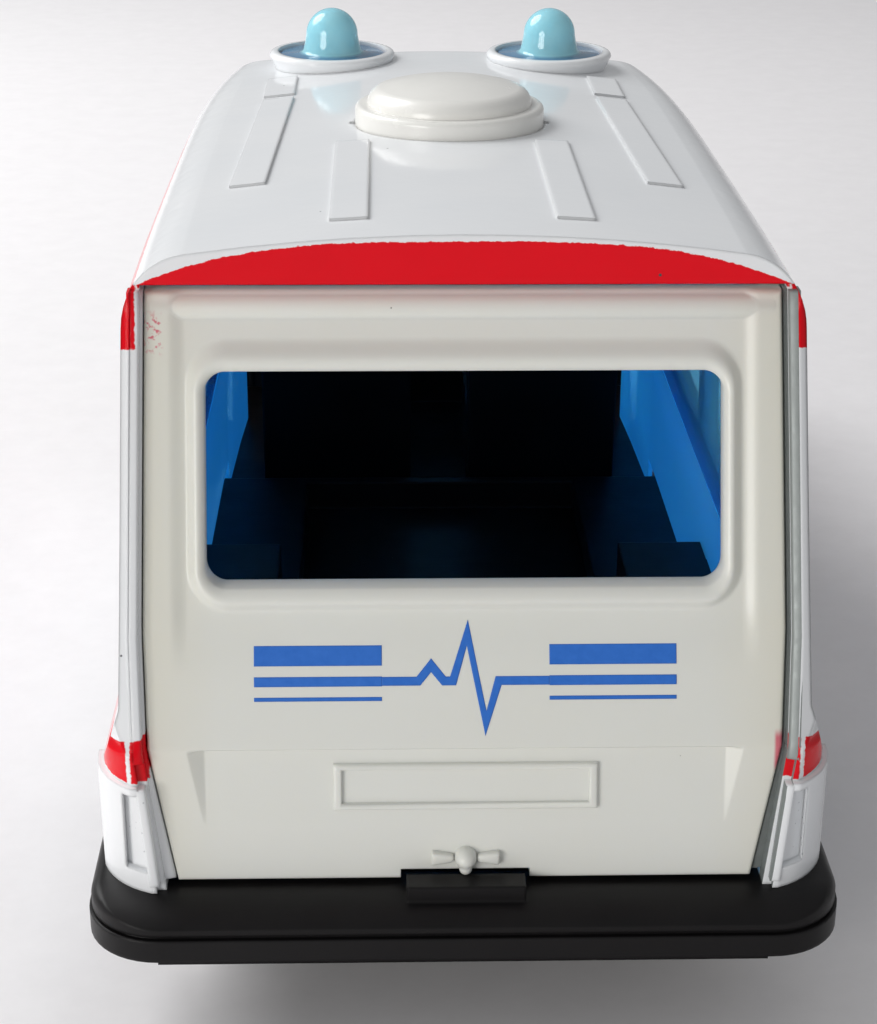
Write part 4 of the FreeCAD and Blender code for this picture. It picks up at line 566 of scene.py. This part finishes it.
def make_tailgate():
    bm = bmesh.new()
    bmesh.ops.create_grid(bm, **GATE_GRID, size=0.5)
    for v in bm.verts:
        z = GATE_FOOT + (v.co.y + 0.5) * (GATE_TOP - GATE_FOOT)
        v.co = Vector((v.co.x * 2 * along(GATE_HALF, z), 0, z))

    def near(face, reach):
        """Whether a face lies at an edge or a bend, where the relief needs finer faces."""
        spot = face.calc_center_median()
        rim = min(along(GATE_HALF, spot.z) - abs(spot.x), spot.z - GATE_FOOT, GATE_TOP - spot.z)
        crease = abs(spot.z - FINE["crease"]) if abs(spot.x) < FINE["crease_half"] else FAR
        wall = abs(abs(spot.x) - FINE["wall"]) if FINE["wall_low"] < spot.z < FINE["wall_high"] else FAR
        step = abs(abs(spot.x) - FINE["step"]) if spot.z > FINE["step_low"] else FAR
        lip = off_frame(spot.x, spot.z, *WINDOW)
        return -0.5 < lip < reach or rim < 0.4 or crease < 0.25 or wall < 0.7 or step < 0.6

    for reach in (2.0, 1.2):
        chosen = {e for f in bm.faces if near(f, reach) for e in f.edges}
        bmesh.ops.subdivide_edges(bm, edges=list(chosen), cuts=1, use_grid_fill=True)
    cuts = (((NOTCH_HALF, 0, 0), (1, 0, 0)), ((-NOTCH_HALF, 0, 0), (1, 0, 0)), ((0, 0, NOTCH_TOP), (0, 0, 1)))
    for spot, normal in cuts:
        bmesh.ops.bisect_plane(bm, geom=bm.verts[:] + bm.edges[:] + bm.faces[:], dist=0.001,
                               plane_co=spot, plane_no=normal)
    gone = []
    for face in bm.faces:
        spot = face.calc_center_median()
        notch = abs(spot.x) < NOTCH_HALF and spot.z < NOTCH_TOP
        if notch or off_frame(spot.x, spot.z, *WINDOW) < 0:
            gone.append(face)
    bmesh.ops.delete(bm, geom=gone, context="FACES")
    for v in bm.verts:
        away = off_frame(v.co.x, v.co.z, *WINDOW)
        if v.is_boundary and abs(away) < 0.3:
            step = 0.001
            slope_x = off_frame(v.co.x + step, v.co.z, *WINDOW) - away
            slope_z = off_frame(v.co.x, v.co.z + step, *WINDOW) - away
            v.co -= Vector((slope_x, 0, slope_z)) / step * away
    for v in bm.verts:
        v.co.y = along(GATE_LINE, v.co.z) + GATE_THICK
    made = bmesh.ops.extrude_face_region(bm, geom=bm.faces[:])
    for v in made["geom"]:
        if isinstance(v, bmesh.types.BMVert):
            v.co.y = gate_face(v.co.x, v.co.z)
    axis = Matrix.Translation((0, BARREL["ahead"], BARREL["up"])) @ Matrix.Rotation(math.pi / 2, 4, "Y")
    barrel = bmesh.ops.create_cone(bm, cap_ends=True, segments=48, radius1=BARREL["radius"],
                                   radius2=BARREL["radius"], depth=BARREL["length"], matrix=axis)
    ends = {e for v in barrel["verts"] for e in v.link_edges if abs(e.verts[0].co.x - e.verts[1].co.x) < 0.01}
    bmesh.ops.bevel(bm, geom=list(ends), offset=BARREL["round"], segments=3, profile=0.5, affect="EDGES", material=-1)
    gate = finish_piece(bm, "tailgate_skin", CREAM_PLASTIC, "tailgate_body", sharp=50)
    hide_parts("tailgate")
    return gate


make_tailgate()

# %% [markdown]
# ## The plate's frame
# The number plate is a thin raised frame, cast with the sheet. A grid of three by three faces
# has just the lines that a frame needs: its middle face is taken out, the rest is raised and its
# upper edges are rounded. The field inside stays bare.

# %% The plate's frame
PLATE_X, PLATE_Z = (-7.3, -6.85, 6.85, 7.3), (14.5, 14.82, 16.68, 17.0)
PLATE_ROOT, PLATE_HIGH, PLATE_ROUND = 0.15, 0.45, 0.13


def make_plate_frame():
    bm = bmesh.new()
    bmesh.ops.create_grid(bm, x_segments=3, y_segments=3, size=0.5)
    for v in bm.verts:
        v.co = Vector((PLATE_X[round((v.co.x + 0.5) * 3)], 0, PLATE_Z[round((v.co.y + 0.5) * 3)]))
    centre = Vector((sum(PLATE_X[1:3]) / 2, 0, sum(PLATE_Z[1:3]) / 2))
    middle = [f for f in bm.faces if (f.calc_center_median() - centre).length < 0.5]
    bmesh.ops.delete(bm, geom=middle, context="FACES")
    for v in bm.verts:
        v.co.y = gate_face(v.co.x, v.co.z) + PLATE_ROOT
    made = bmesh.ops.extrude_face_region(bm, geom=bm.faces[:])
    top = {v for v in made["geom"] if isinstance(v, bmesh.types.BMVert)}
    bmesh.ops.translate(bm, vec=(0, -PLATE_HIGH, 0), verts=list(top))
    rim = [e for e in bm.edges if e.verts[0] in top and e.verts[1] in top and len(e.link_faces) == 2
           and abs(e.calc_face_angle(0)) > 0.5]
    bmesh.ops.bevel(bm, geom=rim, offset=PLATE_ROUND, segments=3, profile=0.5, affect="EDGES", material=-1)
    return finish_piece(bm, "plate_frame", CREAM_PLASTIC, "tailgate_body", sharp=60)


make_plate_frame()

# %% [markdown]
# ## The print
# The tailgate carries a pad print in one blue ink. Here it is generic: stripes, thick and thin,
# and a wave line between them. Each mark is drawn flat, cut up finely enough to bend, and then
# every point is moved onto the surface under it. Ink could be a mask in the plastic's material
# too, but a thin piece keeps a crisp edge at any distance.

# %% The print
INK_PROUD, INK_DEEP = 0.02, 0.05
STRIPE_ENDS = (4.6, 11.6)
STRIPES = (("thick", 22.3, 23.3), ("middle", 21.25, 21.75), ("thin", 20.5, 20.7))
WAVE = ((-4.6, 21.5), (-2.6, 21.5), (-1.9, 22.3), (-1.2, 21.5), (-0.7, 21.5), (0.1, 23.9),
        (1.1, 19.3), (1.8, 21.5), (2.6, 21.5), (4.6, 21.5))
WAVE_WIDTH = 0.45


def lay_on_gate(bm):
    """Turns a flat drawing (x across, z up) into a slab that follows the tailgate."""
    for v in bm.verts:
        v.co.y = gate_face(v.co.x, v.co.z) + INK_DEEP
    made = bmesh.ops.extrude_face_region(bm, geom=bm.faces[:])
    top = [v for v in made["geom"] if isinstance(v, bmesh.types.BMVert)]
    bmesh.ops.translate(bm, vec=(0, -INK_DEEP - INK_PROUD, 0), verts=top)


def make_stripe(name, left, right, low, high):
    """A printed rectangle, cut up every half millimetre so that it can bend."""
    bm = bmesh.new()
    steps = max(2, int((right - left) / 0.5))
    bmesh.ops.create_grid(bm, x_segments=steps, y_segments=3, size=0.5)
    bmesh.ops.scale(bm, vec=(right - left, high - low, 1), verts=bm.verts)
    bmesh.ops.rotate(bm, matrix=Matrix.Rotation(math.pi / 2, 3, "X"), verts=bm.verts)
    bmesh.ops.translate(bm, vec=((left + right) / 2, 0, (low + high) / 2), verts=bm.verts)
    lay_on_gate(bm)
    return finish_piece(bm, name, BLUE_INK, "tailgate_body")


def make_wave(name, points, width):
    """A printed line of even width through the points, mitred at its corners."""
    bm = bmesh.new()
    spots = [Vector((x, 0, z)) for x, z in points]
    last = None
    for k, spot in enumerate(spots):
        before = (spot - spots[k - 1]).normalized() if k else (spots[1] - spot).normalized()
        after = (spots[k + 1] - spot).normalized() if k + 1 < len(spots) else before
        middle = (before + after).normalized()
        across = Vector((-middle.z, 0, middle.x)) * width / 2 / max(middle.dot(before), 0.35)
        if last is None:
            pair = [bm.verts.new(spot - across), bm.verts.new(spot + across)]
            last = bm.edges.new(pair)
        else:
            made = bmesh.ops.extrude_edge_only(bm, edges=[last])["geom"]
            pair = [v for v in made if isinstance(v, bmesh.types.BMVert)]
            pair.sort(key=lambda v: (v.co - old[0]).length)
            pair[0].co, pair[1].co = spot - across, spot + across
            last = next(e for e in made if isinstance(e, bmesh.types.BMEdge))
        old = [v.co.copy() for v in pair]
    long_edges = [e for e in bm.edges if e.calc_length() > 0.7]
    bmesh.ops.subdivide_edges(bm, edges=long_edges, cuts=5, use_grid_fill=True)
    lay_on_gate(bm)
    return finish_piece(bm, name, BLUE_INK, "tailgate_body")


for side, sign in (("left", -1), ("right", 1)):
    for name, low, high in STRIPES:
        make_stripe(f"print_{name}_{side}", *sorted(end * sign for end in STRIPE_ENDS), low, high)
make_wave("print_wave", WAVE, WAVE_WIDTH)

# %% [markdown]
# ## The handle
# A short bar with tapered ends and a round knob in its middle, raised on the tailgate's foot.
# Each half of the bar is a cube, narrower towards the middle and rounded by a bevel. The knob is
# a sphere drawn out a little, with a smaller one under it.

# %% The handle
HANDLE_UP, FOOT_UP, FOOT_ROOT = 11.65, 11.12, 11.1
BAR = {"size": (1.25, 0.6, 0.72), "reach": 1.28, "sunk": -0.15, "round": 0.16}
KNOB_RADIUS, KNOB_SUNK, FOOT_RADIUS, FOOT_SUNK = 0.62, -0.1, 0.36, -0.35


def make_handle():
    bm = bmesh.new()
    face = along(GATE_LINE, HANDLE_UP)
    for side in (-1, 1):
        made = bmesh.ops.create_cube(bm, size=1)["verts"]
        bmesh.ops.scale(bm, vec=BAR["size"], verts=made)
        outer = [v for v in made if v.co.x * side > 0]
        bmesh.ops.scale(bm, vec=(1, 1, 1.15), verts=outer)
        inner = [v for v in made if v.co.x * side < 0]
        bmesh.ops.scale(bm, vec=(1, 0.8, 0.6), verts=inner)
        bmesh.ops.translate(bm, vec=(BAR["reach"] * side, face + BAR["sunk"], HANDLE_UP), verts=made)
    bmesh.ops.bevel(bm, geom=bm.edges[:], offset=BAR["round"], segments=3, profile=0.5, affect="EDGES", material=-1)
    knob = bmesh.ops.create_uvsphere(bm, u_segments=32, v_segments=20, radius=KNOB_RADIUS)["verts"]
    bmesh.ops.scale(bm, vec=(1, 1.35, 1), verts=knob)
    bmesh.ops.translate(bm, vec=(0, face + KNOB_SUNK, HANDLE_UP), verts=knob)
    foot = bmesh.ops.create_uvsphere(bm, u_segments=24, v_segments=16, radius=FOOT_RADIUS)["verts"]
    bmesh.ops.translate(bm, vec=(0, along(GATE_LINE, FOOT_ROOT) + FOOT_SUNK, FOOT_UP), verts=foot)
    return finish_piece(bm, "handle", CREAM_PLASTIC, "tailgate_body", sharp=60)


make_handle()

# %% [markdown]
# ## The castings at the rear corners
# Next to the tailgate the real body shows three thin cast forms: a flange that fills most of the
# gap along the tailgate's edge, the pillar's own face, and a raised rib beside each lamp field.
# The right side's flange and pillar face are zinc grey as painted shade, because that side lies out of the light. All
# are strips that follow a slanting line. A grid of one by many faces, given its thickness by an
# extrusion, makes each, and a bevel rounds their edges as paint does.

# %% The castings at the rear corners
STRIP_DEEP = 1.0
# offsets from the tailgate's edge and from its sheet; the flange stands prouder on the left
FLANGE = {"inner": 0.07, "outer": 0.8, "inner_sunk": 0.15, "outer_sunk": 0.1, "inner_skew": 0.2, "outer_skew": 0.4}
PILLAR_FACE = (0.22, 0.87, -0.72, -0.95)
UPRIGHT = [10.5 + 31.0 * k / 40 for k in range(41)]
PILLAR = [17.6 + 24.0 * k / 30 for k in range(31)]
RIB_FOOT = 10.7
RIB = [(z, 16.95 + 0.105 * (z - RIB_FOOT), 17.5 + 0.1 * (z - RIB_FOOT), 2.46 + 0.105 * (z - RIB_FOOT),
        2.4 + 0.105 * (z - RIB_FOOT)) for z in (10.5, 11.5, 12.5, 13.5, 14.5, 15.5, 16.3)]


def make_strip(name, rows, material):
    """A strip through rows of (height, inner, outer, inner face, outer face), thickened forwards."""
    bm = bmesh.new()
    bmesh.ops.create_grid(bm, x_segments=1, y_segments=len(rows) - 1, size=0.5)
    for v in bm.verts:
        height, inner, outer, inner_face, outer_face = rows[round((v.co.y + 0.5) * (len(rows) - 1))]
        v.co = Vector((inner, inner_face, height) if v.co.x < 0 else (outer, outer_face, height))
    made = bmesh.ops.extrude_face_region(bm, geom=bm.faces[:])
    back = {v for v in made["geom"] if isinstance(v, bmesh.types.BMVert)}
    bmesh.ops.translate(bm, vec=(0, STRIP_DEEP, 0), verts=list(back))
    bmesh.ops.recalc_face_normals(bm, faces=bm.faces)
    front = [e for e in bm.edges if not set(e.verts) & back and e.calc_face_angle(0) > 0.6]
    bmesh.ops.bevel(bm, geom=front, offset=min(0.12, abs(rows[0][2] - rows[0][1]) * 0.3), segments=3, profile=0.5,
                    affect="EDGES", material=-1)
    return finish_piece(bm, name, material, "toy_body", sharp=50)


def corner_rows(heights, inner, outer, inner_face, outer_face):
    """Rows of a strip along the tailgate's edge: offsets from the edge and from the sheet."""
    return [(z, along(GATE_HALF, z) + inner, along(GATE_HALF, z) + outer,
             along(GATE_LINE, z) + inner_face, along(GATE_LINE, z) + outer_face) for z in heights]


# the right side's flange and pillar face are grey as painted shade; the left ones are white enamel
for side, sign, finish in (("left", -1, BODY_PAINT), ("right", 1, RIGHT_SIDE_SHADE_GREY)):
    flange = corner_rows(UPRIGHT, FLANGE["inner"], FLANGE["outer"], FLANGE["inner_sunk"] + FLANGE["inner_skew"] * sign,
                         FLANGE["outer_sunk"] + FLANGE["outer_skew"] * sign)
    pillar = corner_rows(PILLAR, *PILLAR_FACE)
    for name, rows, material in (("opening_flange", flange, finish), ("pillar_face", pillar, finish),
                                 ("lamp_rib", RIB, BODY_PAINT)):
        mirrored = [(z, inner * sign, outer * sign, *faces) for z, inner, outer, *faces in rows]
        make_strip(f"{name}_{side}", mirrored, material)

# %% [markdown]
# ## The glazing's skirt
# On such toys all the glazing is one clear moulding that hangs inside the body like a hood.
# Below the side windows it runs down to the tub's edge and closes the gap there, which the eye
# sees as a deep blue wall. It is a bent sheet: a grid of one by a few faces, one row for each
# place along the toy, moved outwards by an extrusion for its thickness.

# %% The glazing's skirt
SKIRT_TOP, SKIRT_THICK = 22.2, 0.35
# rows of place along the toy, distance from its middle plane, height of the lower edge
SKIRT = ((12.0, 17.0, 17.6), (24.0, 17.0, 17.6), (30.6, 17.0, 17.6), (31.0, 17.0, 13.0), (45.0, 16.97, 13.0),
         (55.0, 16.93, 13.0), (60.2, 16.86, 13.0), (60.4, 16.86, 10.8), (70.0, 16.55, 10.8), (76.0, 16.25, 10.8))


def make_skirt(side, sign):
    bm = bmesh.new()
    bmesh.ops.create_grid(bm, x_segments=len(SKIRT) - 1, y_segments=1, size=0.5)
    for v in bm.verts:
        ahead, across, low = SKIRT[round((v.co.x + 0.5) * (len(SKIRT) - 1))]
        v.co = Vector((across * sign, ahead, low if v.co.y < 0 else SKIRT_TOP))
    made = bmesh.ops.extrude_face_region(bm, geom=bm.faces[:])
    outer = [v for v in made["geom"] if isinstance(v, bmesh.types.BMVert)]
    bmesh.ops.translate(bm, vec=(SKIRT_THICK * sign, 0, 0), verts=outer)
    return finish_piece(bm, f"glazing_skirt_{side}", PIPED_BLUE, "toy_body")


for side, sign in (("left", -1), ("right", 1)):
    make_skirt(side, sign)

# %% [markdown]
# ## The beacons
# Each beacon is a thin clear dome on a flange. The toy's is one moulding, hollow from below,
# and its hollow is what makes the dome look bright: light crosses two thin walls, not a solid.
# A half section, spun round the axis, gives wall and hollow in one go.

# %% The beacons
BEACON_SIDE, BEACON_AHEAD = 8.15, 62.5
DOME = {"top": 48.35, "centre": 46.42, "radius": 1.93, "hollow_centre": 46.35, "hollow_radius": 1.46}
STEEP = 86


def spun_piece(name, section, centre, material, body, steps=72, sharp=40):
    """A piece from half of its section, (radius, height) points, spun round an upright axis."""
    bm = bmesh.new()
    verts = [bm.verts.new((radius, 0, height)) for radius, height in section]
    edges = [bm.edges.new(pair) for pair in zip(verts, verts[1:])]
    bmesh.ops.spin(bm, geom=verts + edges, cent=(0, 0, 0), axis=(0, 0, 1), angle=math.tau, steps=steps, use_merge=True)
    bmesh.ops.translate(bm, vec=(centre[0], centre[1], 0), verts=bm.verts)
    return finish_piece(bm, name, material, body, sharp)


def arc(centre, radius, first, last, steps):
    """Points on an arc of a section, with its angles in degrees from the level."""
    return [
        (centre[0] + radius * math.cos(math.radians(first + (last - first) * k / steps)),
         centre[1] + radius * math.sin(math.radians(first + (last - first) * k / steps)))
        for k in range(steps + 1)
    ]


def beacon_section():
    """Half of a beacon's section: down the dome, round the flange and up the hollow."""
    outer = [(0, DOME["top"]), *arc((0, DOME["centre"]), DOME["radius"], STEEP, 0, 16),
             (2.04, 45.8), (2.15, 45.32), (2.3, 45.14), (2.5, 45.07)]
    flange = [(3.75, 45.05), (3.86, 45.0), (3.9, 44.9), (3.9, 44.6), (3.8, 44.5), (1.5, 44.5), (1.5, 42.6)]
    inner = [(1.05, 42.6), (1.05, 44.4), (1.5, 44.9), (1.56, 45.4),
             *arc((0, DOME["hollow_centre"]), DOME["hollow_radius"], 0, STEEP, 12), (0, 47.81)]
    return outer + flange + inner


for side, sign in (("left", -1), ("right", 1)):
    dome = spun_piece(f"beacon_dome_{side}", beacon_section(), (BEACON_SIDE * sign, BEACON_AHEAD), BEACON_BLUE,
                      "toy_body")
    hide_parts(f"beacon_{side}")

# %% [markdown]
# ## The floor
# The toy stands on a plain pale board. One large square is enough, because its matt finish and
# faint mottle carry no detail that the eye could follow.

# %% The floor
FLOOR_REACH = 1.5


def make_floor():
    bm = bmesh.new()
    bmesh.ops.create_grid(bm, x_segments=1, y_segments=1, size=FLOOR_REACH)
    mesh = bpy.data.meshes.new("floor")
    bm.to_mesh(mesh)
    bm.free()
    floor = bpy.data.objects.new("floor", mesh)
    bpy.context.scene.collection.objects.link(floor)
    material, shader, place = start_material("matt_pale_board", Roughness=0.8, IOR=1.4)
    mottle = add(material, "TexNoise", {"Vector": place, "Scale": 0.25, "Detail": 6.0, "Roughness": 0.7}).outputs[0]
    shade = add(material, "MapRange", {0: mottle, 1: 0.3, 2: 0.7}).outputs[0]
    colour = add(material, "Mix", {0: shade, 6: linear("#ECEAEB"), 7: linear("#F1EFF0")}, data_type="RGBA").outputs[2]
    feed(material, shader, Base_Color=colour)
    dress(floor, material)
    return floor


make_floor()

# %% [markdown]
# ## The light
# A window stands on the toy's left. One large soft lamp, left of the toy and beyond it as the
# camera sees it, models the forms. A second one, low and on the camera's left, lights the
# tailgate, and a dim grey-white world gives the gloss something to reflect. The lamps are weak
# enough for white lacquer to keep its shading, and the right side stays in shade.

# %% The light
LAMPS = (("window_light", (-0.3, 0.17, 0.34), 0.34, 1.9, "#FFFFFF"),
         ("low_left_light", (-0.4, -0.5, 0.13), 0.3, 1.8, "#FFFDFA"))
TOY_MIDDLE = (0, 0, 0.02)
WORLD_COLOUR, WORLD_STRENGTH = "#F4F5F7", 0.4


def aim(thing, target):
    """Turns a lamp so that it looks at a point."""
    thing.rotation_euler = (Vector(target) - thing.location).to_track_quat("-Z", "Y").to_euler()


def make_lamp(name, place, size, power, colour):
    lamp = bpy.data.lights.new(name, "AREA")
    lamp.shape = "DISK"
    lamp.size = size
    lamp.energy = power
    lamp.color = linear(colour)[:3]
    thing = bpy.data.objects.new(name, lamp)
    thing.location = place
    bpy.context.scene.collection.objects.link(thing)
    aim(thing, TOY_MIDDLE)
    print(name, "at", place, power, "W")
    return thing


for lamp in LAMPS:
    make_lamp(*lamp)

world = bpy.data.worlds.new("pale_room")
world.use_nodes = True
background = world.node_tree.nodes["Background"]
background.inputs["Color"].default_value = linear(WORLD_COLOUR)
background.inputs["Strength"].default_value = WORLD_STRENGTH
bpy.context.scene.world = world

# %% [markdown]
# ## The camera
# A camera is a place, three directions and a lens. The directions here come from the yaw, the
# pitch and the small roll that fit the photograph's edges, and the lens from its perspective.

# %% The camera
CAMERA_TURN = {"yaw": 1.6015, "pitch": 22.969, "roll": -0.3273}
CAMERA_PLACE = Vector((-4.424, -154.533, 75.135))
SENSOR_HEIGHT, LENS, CLIP_START = 36, 74.12, 0.01


def make_camera():
    yaw, pitch, roll = (math.radians(CAMERA_TURN[name]) for name in ("yaw", "pitch", "roll"))
    forward = Vector((math.sin(yaw) * math.cos(pitch), math.cos(yaw) * math.cos(pitch), -math.sin(pitch)))
    level = Vector((math.cos(yaw), -math.sin(yaw), 0))
    rise = level.cross(forward)
    right = level * math.cos(roll) - rise * math.sin(roll)
    up = level * math.sin(roll) + rise * math.cos(roll)
    turn = Matrix((right, up, -forward)).transposed().to_4x4()
    camera = bpy.data.cameras.new("camera")
    camera.sensor_fit = "VERTICAL"
    camera.sensor_height = SENSOR_HEIGHT
    camera.lens = LENS
    camera.clip_start = CLIP_START
    thing = bpy.data.objects.new("camera", camera)
    bpy.context.scene.collection.objects.link(thing)
    thing.matrix_world = Matrix.Translation(CAMERA_PLACE * MM) @ turn
    bpy.context.scene.camera = thing
    return thing


make_camera()
bpy.context.scene.view_settings.view_transform = "Standard"
